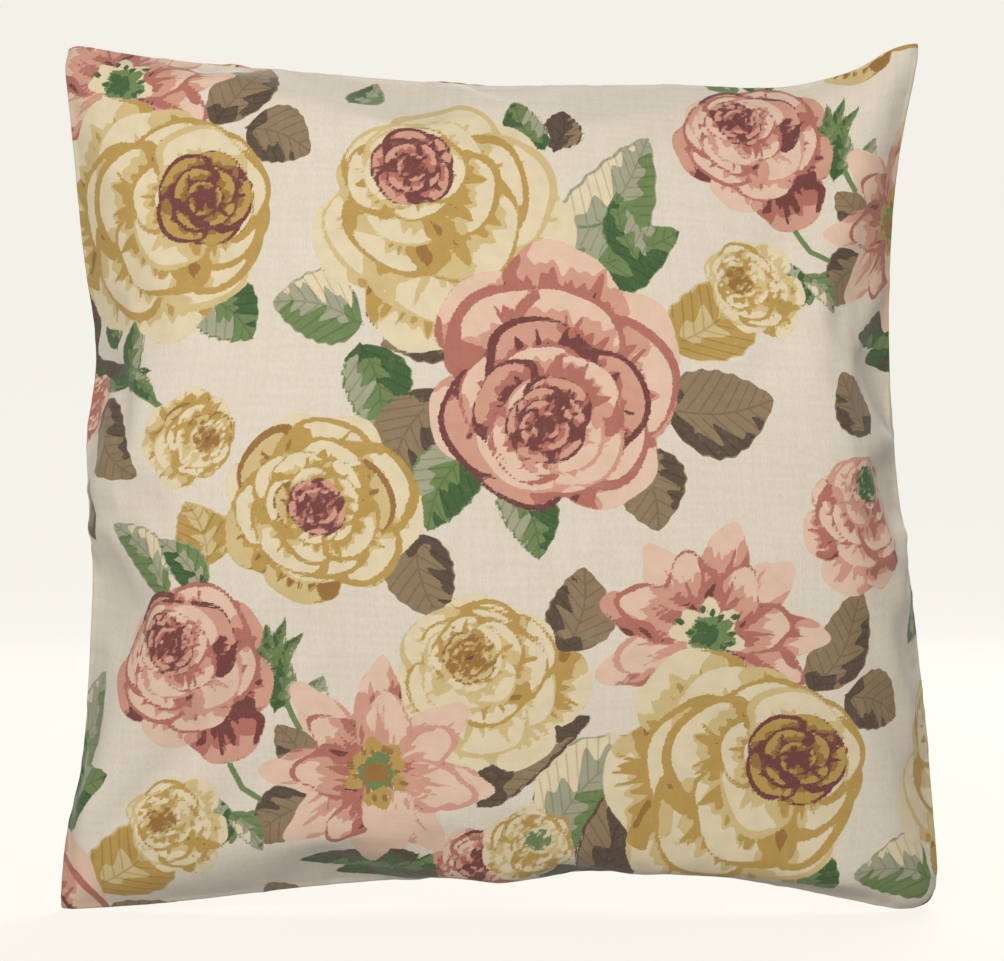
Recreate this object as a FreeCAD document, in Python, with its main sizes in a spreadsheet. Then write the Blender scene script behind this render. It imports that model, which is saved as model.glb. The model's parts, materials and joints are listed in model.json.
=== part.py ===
import FreeCAD, Part
import math
import os

import Sketcher

# A throw pillow: a square cover of printed linen with knife-edge seams, closed across its back
# by a coil zip, and a sewn insert full of loose filling inside it. It stands upright on its
# bottom edge. Millimetres, +Z up, printed face towards -Y, and the origin at the middle of
# the face it stands on.
#
# Seen from above, the pillow is a lens: two equal arcs that meet at the side seams (y = 0).
# From the base up, the lens first grows deeper, is deepest at the belly, then thins to a knife
# edge at the top. Its width pulls in between the corners. The zip lies at the belly, where the
# back is upright, so that every zip piece curves about one vertical axis, and the slider
# travels on one true arc.

SIZES = [
    # the filled cover
    ("cover_height", 492, "floor to the top seam, at the corners"),
    ("corner_width", 496, "side seam to side seam at the top and bottom corners"),
    ("waist_width", 460, "side seam to side seam half way up"),
    ("belly_depth", 150, "front to back where the pillow is fattest"),
    ("belly_height", 205, "height of the fattest place, and of the zip"),
    ("base_depth", 54, "front to back of the flat that the pillow stands on"),
    ("top_depth", 6, "front to back of the top seam"),
    ("fabric_wall", 0.8, "thickness of the linen"),
    # the insert
    ("case_ease", 1.5, "slider to insert"),
    ("case_top_gap", 14, "top seam to the top of the insert"),
    ("case_base_gap", 0.4, "inside of the cover's base to the insert"),
    ("case_wall", 0.6, "thickness of the insert's cambric"),
    ("filling_gap", 0.3, "cambric to filling"),
    # the zip
    ("chain_length", 352, "coils, along the arc"),
    ("slit", 1.1, "between the two coils"),
    ("coil_width", 2.05, "each coil, up and down"),
    ("coil_rise", 1.3, "each coil, off its tape"),
    ("tape_gap", 0.6, "linen to tape"),
    ("tape_wall", 0.5, "thickness of the woven tape"),
    ("tape_width", 12.6, "each tape, up and down"),
    ("tape_set_back", 0.35, "inner edge of the coil to the edge of its tape"),
    ("tape_overhang", 14, "tape beyond the opening at each end"),
    ("slot_half", 5.2, "zip centre line to each folded edge of the opening"),
    ("slot_ease", 6, "stop to the end of the opening"),
    ("stop_length", 4, "each stop, along the arc"),
    ("stop_width", 3, "each top stop, up and down"),
    ("stop_rise", 2.2, "each stop, off the tape"),
    # the slider and its tab
    ("slider_length", 11, "along the arc"),
    ("slider_width", 8.4, "up and down"),
    ("slider_ease", 0.3, "slider to coil and to tape"),
    ("upper_plate", 1.0, "thickness of the slider's outer plate"),
    ("lower_plate", 0.9, "thickness of the slider's inner plate"),
    ("lip_wall", 0.7, "turned-in lips of the outer plate"),
    ("lip_drop", 1.1, "how far the lips reach in"),
    ("stop_clearance", 0.4, "slider to stop at each end of its travel"),
    ("arch_length", 8, "loop on the slider, along the arc"),
    ("arch_rise", 3.2, "loop on the slider, off the plate"),
    ("arch_wall", 1.0, "metal of the loop"),
    ("arch_width", 2.0, "loop on the slider, up and down"),
    ("pin_height", 0.95, "middle of the tab's bar, off the plate"),
    ("tab_wall", 1.0, "thickness of the pull tab"),
    ("tab_length", 22, "pull tab from its bar to its tip"),
    ("tab_width", 6.5, "pull tab, up and down"),
    ("tab_bar", 1.2, "bar that turns under the loop"),
    ("tab_window", 5.7, "reach of the tab's window from the bar"),
    ("tab_ease", 0.25, "loop to each side of the window"),
    ("tab_hole", 2.8, "round hole near the tip"),
    # the sewing
    ("tack_length", 2.5, "bar tack, along the arc"),
    ("tack_reach", 0.8, "bar tack beyond the opening's edges"),
    ("thread", 0.4, "thickness of the sewing thread"),
    ("thread_lift", 0.05, "linen to thread"),
    ("stitch_margin", 3.3, "folded edge to its row of stitches"),
    ("stitch_length", 3.6, "each stitch"),
    ("stitch_pitch", 5, "one stitch to the next"),
    ("stitch_width", 0.7, "each stitch, up and down"),
    # the care label
    ("label_width", 34, "along the arc"),
    ("label_drop", 46, "zip centre line to the label's lower edge"),
    ("label_wall", 0.3, "folded satin ribbon"),
    ("label_gap", 1.2, "linen to the label's lower edge"),
]

WAIST_CURVE = 2.2            # how late the sides spread towards the corners
SHARES_BELOW = [0, 0.25, 0.6]        # sections from the base to the belly
SHARES_ABOVE = [0, 0.3, 0.55, 0.78, 0.92, 1]    # sections from the belly to the top

doc = FreeCAD.newDocument("ThrowPillow")
sheet = doc.addObject("Spreadsheet::Sheet", "dims")
for row, (alias, value, meaning) in enumerate(SIZES, start=1):
    sheet.set(f"A{row}", meaning)
    sheet.set(f"B{row}", str(value))
    sheet.setAlias(f"B{row}", alias)
doc.recompute()


def dim(alias):
    """Expression for one driving size."""
    return f"dims.{alias}"


def number(expression):
    """Present value of an expression on the sheet."""
    value = sheet.evalExpression(expression)
    return float(getattr(value, "Value", value))


# ---------------------------------------------------------------- the pillow's outer form


def half_width(height):
    """Half the lens's width at a height: least half way up, most at the corners."""
    share = f"abs(2 * ({height}) / dims.cover_height - 1) ^ {WAIST_CURVE}"
    return f"(dims.waist_width + (dims.corner_width - dims.waist_width) * {share}) / 2"


def half_depth(height, above):
    """Half the lens's depth at a height, below or above the belly."""
    if above:
        share = f"cos(90 deg * (({height}) - dims.belly_height) / (dims.cover_height - dims.belly_height))"
        return f"(dims.top_depth + (dims.belly_depth - dims.top_depth) * {share}) / 2"
    share = f"sin(90 deg * ({height}) / dims.belly_height)"
    return f"(dims.base_depth + (dims.belly_depth - dims.base_depth) * {share}) / 2"


def arc_radius(width, depth):
    """Radius of the arc that is so wide and so deep."""
    return f"((({width})^2 + ({depth})^2) / (2 * ({depth})))"


def arc_centre(width, depth):
    """How far the arc's centre lies on the far side of the seam plane."""
    return f"((({width})^2 - ({depth})^2) / (2 * ({depth})))"


def section_heights(bottom, top):
    """Heights of the sections of one skin that starts at bottom and ends at top."""
    rise = f"(dims.belly_height - ({bottom}))"
    below = [(f"({bottom}) + {share} * {rise}", False) for share in SHARES_BELOW]
    climb = f"(({top}) - dims.belly_height)"
    above = [(f"dims.belly_height + {share} * {climb}", True) for share in SHARES_ABOVE]
    return below + above


# ---------------------------------------------------------------- sketches


def new_body(name):
    body = doc.addObject("PartDesign::Body", name)
    body.Label = name
    body.AllowCompound = True
    return body


def new_sketch(body, name, plane_role, offset="0"):
    """A sketch on one of its body's own origin planes, moved along the plane's normal."""
    plane = next(item for item in body.Origin.OriginFeatures if item.Role == plane_role)
    sketch = body.newObject("Sketcher::SketchObject", name)
    sketch.AttachmentSupport = [(plane, "")]
    sketch.MapMode = "FlatFace"
    sketch.AttachmentOffset = FreeCAD.Placement(
        FreeCAD.Vector(0, 0, number(offset)), FreeCAD.Rotation())
    sketch.setExpression("AttachmentOffset.Base.z", offset)
    return sketch


def bind(sketch, constraint, name, expression):
    """Add a constraint and tie its size to the sheet."""
    index = sketch.addConstraint(constraint)
    sketch.renameConstraint(index, name)
    sketch.setExpression(f"Constraints.{name}", expression)


def draw_outline(sketch, points, tag="p"):
    """A closed outline of straight lines through points given as pairs of expressions."""
    places = [FreeCAD.Vector(number(x), number(y), 0) for x, y in points]
    following = places[1:] + places[:1]
    lines = [sketch.addGeometry(Part.LineSegment(a, b)) for a, b in zip(places, following)]
    for line, after in zip(lines, lines[1:] + lines[:1]):
        sketch.addConstraint(Sketcher.Constraint("Coincident", line, 2, after, 1))
    for line, place, (x, y) in zip(lines, places, points):
        bind(sketch, Sketcher.Constraint("DistanceX", -1, 1, line, 1, place.x), f"{tag}x{line}", x)
        bind(sketch, Sketcher.Constraint("DistanceY", -1, 1, line, 1, place.y), f"{tag}y{line}", y)


def draw_circle(sketch, x, y, radius, tag):
    """A circle whose middle and radius are expressions."""
    middle = FreeCAD.Vector(number(x), number(y), 0)
    circle = sketch.addGeometry(Part.Circle(middle, FreeCAD.Vector(0, 0, 1), number(radius)))
    bind(sketch, Sketcher.Constraint("DistanceX", -1, 1, circle, 3, middle.x), f"{tag}x", x)
    bind(sketch, Sketcher.Constraint("DistanceY", -1, 1, circle, 3, middle.y), f"{tag}y", y)
    bind(sketch, Sketcher.Constraint("Radius", circle, number(radius)), f"{tag}r", radius)


def draw_half_lens(sketch, side, width, depth, inset):
    """An arc that bulges to one side of the seam plane, closed along that plane.

    The inset is taken off the radius alone, so a skin has the same wall all the way round.
    """
    radius = f"({arc_radius(width, depth)} - ({inset}))"
    centre = arc_centre(width, depth)
    far, size = number(centre), number(radius)
    tip = math.acos(far / size)
    middle = math.pi / 2 if side > 0 else 3 * math.pi / 2
    circle = Part.Circle(FreeCAD.Vector(0, -side * far, 0), FreeCAD.Vector(0, 0, 1), size)
    arc = sketch.addGeometry(Part.ArcOfCircle(circle, middle - tip, middle + tip))
    reach = math.sqrt(size ** 2 - far ** 2)
    left, right = FreeCAD.Vector(-reach, 0, 0), FreeCAD.Vector(reach, 0, 0)
    ends = (left, right) if side > 0 else (right, left)
    seam = sketch.addGeometry(Part.LineSegment(*ends))
    sketch.addConstraint(Sketcher.Constraint("Coincident", arc, 2, seam, 1))
    sketch.addConstraint(Sketcher.Constraint("Coincident", seam, 2, arc, 1))
    sketch.addConstraint(Sketcher.Constraint("PointOnObject", arc, 1, -1))
    sketch.addConstraint(Sketcher.Constraint("PointOnObject", arc, 2, -1))
    sketch.addConstraint(Sketcher.Constraint("PointOnObject", arc, 3, -2))
    bind(sketch, Sketcher.Constraint("DistanceY", -1, 1, arc, 3, -side * far), "centre",
         f"{-side} * {centre}")
    bind(sketch, Sketcher.Constraint("Radius", arc, size), "radius", radius)


# ---------------------------------------------------------------- the soft skins


def loft_half(body, kind, name, side, bottom, top, inset):
    """Loft half-lens sections from bottom to top, as solid or as hollow."""
    sketches = []
    for index, (height, above) in enumerate(section_heights(bottom, top)):
        sketch = new_sketch(body, f"{name}_{index}", "XY_Plane", height)
        draw_half_lens(sketch, side, half_width(height), half_depth(height, above), inset)
        sketches.append(sketch)
    loft = body.newObject(f"PartDesign::{kind}", name)
    loft.Profile = sketches[0]
    loft.Sections = sketches[1:]
    return loft


def half_shell(name, side, bottom, top, inset, wall):
    """One sewn panel: half of a closed skin of even wall."""
    body = new_body(name)
    loft_half(body, "AdditiveLoft", f"{name}_outside", side, bottom, top, inset)
    loft_half(body, "SubtractiveLoft", f"{name}_inside", side,
              f"{bottom} + {wall}", f"{top} - {wall}", f"{inset} + {wall}")
    return body


def cut_away(body, name, below):
    """Take off the half of a panel that lies below, or above, the zip's centre line."""
    sketch = new_sketch(body, f"{name}_outline", "XZ_Plane")
    side = dim("corner_width")
    far = "-1 * dims.cover_height" if below else "2 * dims.cover_height"
    line = dim("belly_height")
    draw_outline(sketch, [(f"-1 * {side}", line), (side, line), (side, far), (f"-1 * {side}", far)])
    pocket = body.newObject("PartDesign::Pocket", name)
    pocket.Profile = sketch
    pocket.Type = "ThroughAll"
    pocket.Midplane = True


CASE_INSET = " + ".join(map(dim, ["fabric_wall", "tape_gap", "tape_wall", "slider_ease",
                                  "lower_plate", "case_ease"]))
CASE_BOTTOM = "dims.fabric_wall + dims.case_base_gap"
CASE_TOP = "dims.cover_height - dims.case_top_gap"
FRONT, BACK = -1, 1

# ---------------------------------------------------------------- the zip's own frame
# A zip piece is drawn about the arc's centre, with +Y out through the middle of the back and
# z = 0 on the zip's centre line, then placed there and turned along the arc.

BELLY_WIDTH = half_width(dim("belly_height"))
BELLY_DEPTH = half_depth(dim("belly_height"), True)
FACE = arc_radius(BELLY_WIDTH, BELLY_DEPTH)           # outer face of the linen
TAPE_FACE = f"({FACE} - dims.fabric_wall - dims.tape_gap)"
COIL_FACE = f"({TAPE_FACE} + dims.coil_rise)"
PLATE_INSIDE = f"({COIL_FACE} + dims.slider_ease)"
PLATE_TOP = f"({PLATE_INSIDE} + dims.upper_plate)"
LOWER_TOP = f"({TAPE_FACE} - dims.tape_wall - dims.slider_ease)"
COIL_START = "dims.slit / 2"
COIL_END = "(dims.slit / 2 + dims.coil_width)"
TAPE_START = "(dims.slit / 2 + dims.tape_set_back)"
TAPE_END = "(dims.slit / 2 + dims.tape_set_back + dims.tape_width)"
STOP_START = "dims.slit / 4"
STOP_END = "(dims.slit / 4 + dims.stop_width)"
SLOT_LENGTH = "(dims.chain_length + 2 * dims.stop_length + 2 * dims.slot_ease)"
TAPE_LENGTH = f"({SLOT_LENGTH} + 2 * dims.tape_overhang)"
STITCH_COUNT = f"floor({SLOT_LENGTH} / dims.stitch_pitch)"


def turn(length):
    """Angle at the arc's centre of a length along the linen's face."""
    return f"(180 deg * ({length}) / (pi * {FACE}))"


# The slider rests against the top stops, at the closed end.
CLOSED_ANGLE = turn("dims.chain_length / 2 - dims.slider_length / 2 - dims.stop_clearance")


def place_on_arc(body, angle="0 deg"):
    """Put a body's own origin at the arc's centre and turn the body towards +X by an angle."""
    body.Placement = FreeCAD.Placement(
        FreeCAD.Vector(0, 0, 0), FreeCAD.Rotation(FreeCAD.Vector(0, 0, 1), -number(angle)))
    body.setExpression("Placement.Base.y", f"-1 * {arc_centre(BELLY_WIDTH, BELLY_DEPTH)}")
    body.setExpression("Placement.Base.z", dim("belly_height"))
    body.setExpression("Placement.Rotation.Angle", f"-1 * {angle}")


def revolve(body, name, points, angle, kind="Revolution"):
    """Turn an outline (radius, height) about the arc's axis, half to each side of the middle."""
    sketch = new_sketch(body, f"{name}_outline", "YZ_Plane")
    draw_outline(sketch, points)
    feature = body.newObject(f"PartDesign::{kind}", name)
    feature.Profile = sketch
    feature.ReferenceAxis = (sketch, ["V_Axis"])
    feature.Midplane = True
    feature.Angle = number(angle)
    feature.setExpression("Angle", angle)
    return feature


def block(inner, outer, low, high):
    """The four corners of a rectangle from one radius to another and one height to another."""
    return [(inner, low), (outer, low), (outer, high), (inner, high)]


def signed(up, low, high):
    """A pair of heights above the centre line, or mirrored below it."""
    return (low, high) if up else (f"-1 * {high}", f"-1 * {low}")


def cover_front():
    return half_shell("cover_front", FRONT, "0", dim("cover_height"), "0", dim("fabric_wall"))


def cover_back(name, up):
    """Upper or lower back panel, with its half of the zip's opening."""
    body = half_shell(name, BACK, "0", dim("cover_height"), "0", dim("fabric_wall"))
    cut_away(body, f"{name}_split", below=up)
    low, high = signed(up, "0", dim("slot_half"))
    reach = "2 * dims.fabric_wall"
    corners = block(f"{FACE} - {reach}", f"{FACE} + {reach}", low, high)
    cut = revolve(body, f"{name}_slot", corners, turn(SLOT_LENGTH), "Groove")
    # The groove's sketch is drawn about the arc's centre, which is off this body's origin.
    sketch = cut.Profile[0]
    sketch.setExpression("AttachmentOffset.Base.x", f"-1 * {arc_centre(BELLY_WIDTH, BELLY_DEPTH)}")
    sketch.setExpression("AttachmentOffset.Base.y", dim("belly_height"))
    return body


def insert_case(name, side):
    return half_shell(name, side, CASE_BOTTOM, CASE_TOP, CASE_INSET, dim("case_wall"))


def insert_filling():
    """The loose filling: both halves of the lens in one piece."""
    body = new_body("insert_filling")
    inset = f"{CASE_INSET} + dims.case_wall + dims.filling_gap"
    bottom = f"{CASE_BOTTOM} + dims.case_wall + dims.filling_gap"
    top = f"{CASE_TOP} - dims.case_wall - dims.filling_gap"
    half = loft_half(body, "AdditiveLoft", "filling_half", BACK, bottom, top, inset)
    doc.recompute()
    mirror = body.newObject("PartDesign::Mirrored", "filling_whole")
    mirror.Originals = [half]
    mirror.MirrorPlane = (next(item for item in body.Origin.OriginFeatures
                               if item.Role == "XZ_Plane"), [""])
    body.Tip = mirror
    return body


def zip_tape(name, up):
    body = new_body(name)
    low, high = signed(up, TAPE_START, TAPE_END)
    revolve(body, f"{name}_ribbon", block(f"{TAPE_FACE} - dims.tape_wall", TAPE_FACE, low, high),
            turn(TAPE_LENGTH))
    place_on_arc(body)
    return body


def zip_coil(name, up):
    """One coil, as the space its turns fill: flat on the tape and rounded outwards."""
    body = new_body(name)
    start, end = signed(up, COIL_START, COIL_END)
    step = "dims.coil_width / 4" if up else "-1 * dims.coil_width / 4"
    near, far = (start, end) if up else (end, start)
    points = [
        (TAPE_FACE, near),
        (f"{COIL_FACE} - dims.coil_rise / 3", near),
        (COIL_FACE, f"{near} + {step}"),
        (COIL_FACE, f"{far} - {step}"),
        (f"{COIL_FACE} - dims.coil_rise / 3", far),
        (TAPE_FACE, far),
    ]
    revolve(body, f"{name}_turns", points, turn(dim("chain_length")))
    place_on_arc(body)
    return body


def zip_stop(name, low, high, end):
    """A stop just past the coils: end is +1 at the closed end and -1 at the open one."""
    body = new_body(name)
    outer = f"{TAPE_FACE} + dims.stop_rise"
    revolve(body, f"{name}_crimp", block(TAPE_FACE, outer, low, high), turn(dim("stop_length")))
    place_on_arc(body, f"({end} * {turn('dims.chain_length / 2 + dims.stop_length / 2')})")
    return body


def zip_slider():
    """Outer plate with turned-in lips, a web in the slit, an inner plate, and the tab's loop."""
    body = new_body("zip_slider")
    side = "dims.slider_width / 2"
    lip = f"({side} - dims.lip_wall)"
    lip_end = f"{PLATE_INSIDE} - dims.lip_drop"
    web = "(dims.slit / 2 - dims.slider_ease)"
    lower_end = f"{LOWER_TOP} - dims.lower_plate"
    half = [
        (PLATE_TOP, side), (lip_end, side), (lip_end, lip), (PLATE_INSIDE, lip),
        (PLATE_INSIDE, web), (LOWER_TOP, web), (LOWER_TOP, side), (lower_end, side),
    ]
    mirrored = [(radius, f"-1 * ({height})") for radius, height in reversed(half)]
    revolve(body, "slider_plates", half + mirrored, turn(dim("slider_length")))

    loop = new_sketch(body, "slider_loop_outline", "XY_Plane")
    foot = f"{PLATE_TOP} - dims.upper_plate / 2"
    reach, rise, wall = "dims.arch_length / 2", "dims.arch_rise", "dims.arch_wall"
    outside = [
        (reach, foot), (reach, f"{PLATE_TOP} + {rise} / 2"),
        (f"{reach} * 0.6", f"{PLATE_TOP} + {rise}"),
    ]
    inside = [
        (f"{reach} * 0.6 - {wall} / 3", f"{PLATE_TOP} + {rise} - {wall}"),
        (f"{reach} - {wall}", f"{PLATE_TOP} + {rise} / 2 - {wall} / 3"),
        (f"{reach} - {wall}", foot),
    ]

    def other_side(points):
        return [(f"-1 * ({x})", y) for x, y in reversed(points)]

    draw_outline(loop, outside + other_side(outside) + other_side(inside) + inside)
    pad = body.newObject("PartDesign::Pad", "slider_loop")
    pad.Profile = loop
    pad.Midplane = True
    pad.setExpression("Length", dim("arch_width"))
    place_on_arc(body, CLOSED_ANGLE)
    return body


def zip_pull_tab():
    """A flat tab with a window at one end, whose end bar turns under the slider's loop."""
    body = new_body("zip_pull_tab")
    pin = f"({PLATE_TOP} + dims.pin_height)"
    sketch = new_sketch(body, "tab_outline", "XZ_Plane", f"-1 * {pin}")
    bar, side = "dims.tab_bar / 2", "dims.tab_width / 2"
    tip, corner = "-1 * dims.tab_length", "dims.tab_width / 3"
    draw_outline(sketch, [
        (bar, f"-1 * {side}"), (bar, side),
        (f"{tip} + {corner}", side), (tip, f"{side} - {corner}"),
        (tip, f"-1 * ({side} - {corner})"), (f"{tip} + {corner}", f"-1 * {side}"),
    ])
    gap = "(dims.arch_width / 2 + dims.tab_ease)"
    draw_outline(sketch, [
        (f"-1 * {bar}", f"-1 * {gap}"), (f"-1 * {bar}", gap),
        ("-1 * dims.tab_window", gap), ("-1 * dims.tab_window", f"-1 * {gap}"),
    ], "w")
    draw_circle(sketch, f"{tip} + dims.tab_width / 2", "0", "dims.tab_hole / 2", "hole")
    pad = body.newObject("PartDesign::Pad", "tab_plate")
    pad.Profile = sketch
    pad.Midplane = True
    pad.setExpression("Length", dim("tab_wall"))
    place_on_arc(body, CLOSED_ANGLE)
    return body


def bar_tack(name, end):
    """A dense bar of zigzag stitches across one end of the opening."""
    body = new_body(name)
    reach = "(dims.slot_half + dims.tack_reach)"
    inner = f"{FACE} + dims.thread_lift"
    revolve(body, f"{name}_bar", block(inner, f"{inner} + dims.thread", f"-1 * {reach}", reach),
            turn(dim("tack_length")))
    place_on_arc(body, f"({end} * {turn(f'{SLOT_LENGTH} / 2 + dims.tack_length / 2')})")
    return body


def topstitch(name, up):
    """A row of stitches along one folded edge of the opening."""
    body = new_body(name)
    row = "(dims.slot_half + dims.stitch_margin)"
    low, high = signed(up, row, f"({row} + dims.stitch_width)")
    inner = f"{FACE} + dims.thread_lift"
    stitch = revolve(body, f"{name}_stitch", block(inner, f"{inner} + dims.thread", low, high),
                     turn(dim("stitch_length")))
    doc.recompute()
    rows = body.newObject("PartDesign::PolarPattern", f"{name}_row")
    rows.Originals = [stitch]
    rows.Axis = (stitch.Profile[0], ["V_Axis"])
    span = turn(f"dims.stitch_pitch * ({STITCH_COUNT} - 1)")
    rows.Angle = number(span)
    rows.setExpression("Angle", span)
    rows.Occurrences = int(number(STITCH_COUNT))
    rows.setExpression("Occurrences", STITCH_COUNT)
    body.Tip = rows
    place_on_arc(body, f"({span} / 2)")
    return body


def care_label():
    """A blank folded ribbon that hangs inside the cover from the lower tape."""
    body = new_body("care_label")
    drop = dim("label_drop")
    recede = f"({BELLY_DEPTH} - {half_depth(f'dims.belly_height - {drop}', False)})"
    high = f"{TAPE_FACE} - dims.tape_wall"
    low = f"{FACE} - {recede} - dims.fabric_wall - dims.label_gap"
    revolve(body, "label_ribbon", [
        (high, f"-1 * {TAPE_END}"), (f"{high} - dims.label_wall", f"-1 * {TAPE_END}"),
        (f"{low} - dims.label_wall", f"-1 * {drop}"), (low, f"-1 * {drop}"),
    ], turn(dim("label_width")))
    place_on_arc(body)
    return body


# ---------------------------------------------------------------- build, check and write

parts = [
    cover_front(),
    cover_back("cover_back_upper", up=True),
    cover_back("cover_back_lower", up=False),
    insert_case("insert_case_front", FRONT),
    insert_case("insert_case_back", BACK),
    insert_filling(),
    zip_tape("zip_tape_upper", up=True),
    zip_tape("zip_tape_lower", up=False),
    zip_coil("zip_coil_upper", up=True),
    zip_coil("zip_coil_lower", up=False),
    zip_stop("zip_top_stop_upper", *signed(True, STOP_START, STOP_END), end=1),
    zip_stop("zip_top_stop_lower", *signed(False, STOP_START, STOP_END), end=1),
    zip_stop("zip_bottom_stop", f"-1 * {STOP_END}", STOP_END, end=-1),
    zip_slider(),
    zip_pull_tab(),
    bar_tack("zip_bar_tack_closed_end", 1),
    bar_tack("zip_bar_tack_open_end", -1),
    topstitch("zip_topstitch_upper", up=True),
    topstitch("zip_topstitch_lower", up=False),
    care_label(),
]
doc.recompute()

CUTS = ("PartDesign::Pocket", "PartDesign::Groove", "PartDesign::SubtractiveLoft")
for item in doc.Objects:
    if "Invalid" in item.State or "Error" in item.State:
        raise RuntimeError(f"{item.Name} did not recompute: {item.State}")
    if item.TypeId in CUTS and item.Shape.Volume >= item.BaseFeature.Shape.Volume:
        raise RuntimeError(f"{item.Name} cuts nothing")
os.makedirs("parts", exist_ok=True)
for part in parts:
    shape = part.Shape
    if shape.isNull() or not shape.isValid() or not shape.Solids:
        raise RuntimeError(f"{part.Label} has no valid solid")
    print(f"{part.Label}: {len(shape.Solids)} solid(s), {shape.Volume / 1000:.2f} cm3")
    shape.exportStep(f"parts/{part.Label}.step")
centre = -number(arc_centre(BELLY_WIDTH, BELLY_DEPTH))
print(f"zip arc: radius {number(FACE):.4f} mm about x 0, y {centre:.4f};"
      f" slider closed at {number(CLOSED_ANGLE):.4f} degrees;"
      f" tab turns at radius {number(PLATE_TOP) + number('dims.pin_height'):.4f} mm")
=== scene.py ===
# %% [markdown]
# # A throw pillow in printed linen
#
# The pillow is a square linen cover, printed with roses, filled by a plump insert and closed
# across its back by a coil zip. The frame that this script loads holds the sizes and the zip's
# moving parts; everything soft is made here, and every piece rides on a body of that frame.
# We work in metres, with the printed face towards -Y and +Z up.

# %% Load the frame
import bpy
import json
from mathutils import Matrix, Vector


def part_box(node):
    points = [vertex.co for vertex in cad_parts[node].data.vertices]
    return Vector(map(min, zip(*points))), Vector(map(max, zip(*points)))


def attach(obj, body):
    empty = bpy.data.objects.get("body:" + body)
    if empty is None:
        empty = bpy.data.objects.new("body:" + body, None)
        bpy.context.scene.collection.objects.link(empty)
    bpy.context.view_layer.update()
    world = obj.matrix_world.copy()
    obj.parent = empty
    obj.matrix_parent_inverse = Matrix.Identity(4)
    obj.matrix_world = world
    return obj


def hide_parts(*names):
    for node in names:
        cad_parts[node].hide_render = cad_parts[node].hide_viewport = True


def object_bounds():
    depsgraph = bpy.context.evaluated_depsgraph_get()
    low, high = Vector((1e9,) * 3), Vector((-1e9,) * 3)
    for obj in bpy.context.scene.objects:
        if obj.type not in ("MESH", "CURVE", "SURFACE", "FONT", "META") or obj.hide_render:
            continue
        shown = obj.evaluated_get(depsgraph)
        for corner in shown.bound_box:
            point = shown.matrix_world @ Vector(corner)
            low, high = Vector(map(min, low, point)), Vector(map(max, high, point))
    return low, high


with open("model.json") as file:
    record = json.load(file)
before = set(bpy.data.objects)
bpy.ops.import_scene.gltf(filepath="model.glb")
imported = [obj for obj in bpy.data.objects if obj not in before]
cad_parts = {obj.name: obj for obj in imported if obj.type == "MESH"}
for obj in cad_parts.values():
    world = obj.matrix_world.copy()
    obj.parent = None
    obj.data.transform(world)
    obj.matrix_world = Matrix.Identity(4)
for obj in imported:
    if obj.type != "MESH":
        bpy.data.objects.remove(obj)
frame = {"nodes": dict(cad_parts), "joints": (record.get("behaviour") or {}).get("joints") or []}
import json
import math

import bpy
import numpy as np

cad_low, cad_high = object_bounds()
MM = 0.001
PILLOW_MIDDLE = np.array([0, 0, 0.245])
print("frame:", sorted(frame["nodes"]))

# %% [markdown]
# ## The places that everything is measured from
#
# The zip lies on a true arc, because the back of the pillow is upright at its fattest height.
# The slider's joint gives the arc's axis, and the cover's box gives its radius. Reading both
# from the frame keeps the cloth, the teeth and the slider on one line.

# %% Zip arc and cover box
zip_joint = next(joint for joint in frame["joints"] if joint["name"] == "zip_run")
ARC_Y, ZIP_Z = zip_joint["pos_m"][1], zip_joint["pos_m"][2]
ARC_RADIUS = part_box("cover_back_upper")[1][1] - ARC_Y
TACK_OVERLAP = 0.8 * MM         # how far a bar tack reaches past the opening, above and below
TACK_LOW, TACK_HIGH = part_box("zip_bar_tack_closed_end")
SLOT_END = ARC_RADIUS * math.asin(TACK_LOW[0] / ARC_RADIUS)
SLOT_HALF = (TACK_HIGH[2] - TACK_LOW[2]) / 2 - TACK_OVERLAP
print(f"arc radius {ARC_RADIUS:.4f}, zip at {ZIP_Z:.3f}, opening to {SLOT_END:.3f} each way")

# %% [markdown]
# ## Sewing and filling the bag
#
# The real cover is two flat squares of cloth, sewn together along their edges and pushed
# apart by the filling. We could push a grid into a cushion shape with a formula, but a bag
# that is really inflated finds its own creases: the corners stay out as ears, the sides pull
# in, and the spare cloth gathers into folds along the seams. So we weld two square grids
# along their edges and let the cloth solver blow them up with gravity off.

# %% Two square grids that share their edge
SIDE = 0.5                      # the cover is cut and sewn 50 cm square
CELLS = 84
FRONT, BACK = 0, 1


def bag_faces(numbers):
    """Squares of both grids, all facing out."""
    front = np.stack([numbers[FRONT, :-1, :-1], numbers[FRONT, :-1, 1:],
                      numbers[FRONT, 1:, 1:], numbers[FRONT, 1:, :-1]], -1).reshape(-1, 4)
    back = np.stack([numbers[BACK, 1:, :-1], numbers[BACK, 1:, 1:],
                     numbers[BACK, :-1, 1:], numbers[BACK, :-1, :-1]], -1).reshape(-1, 4)
    return np.concatenate([front, back]).tolist()


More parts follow.
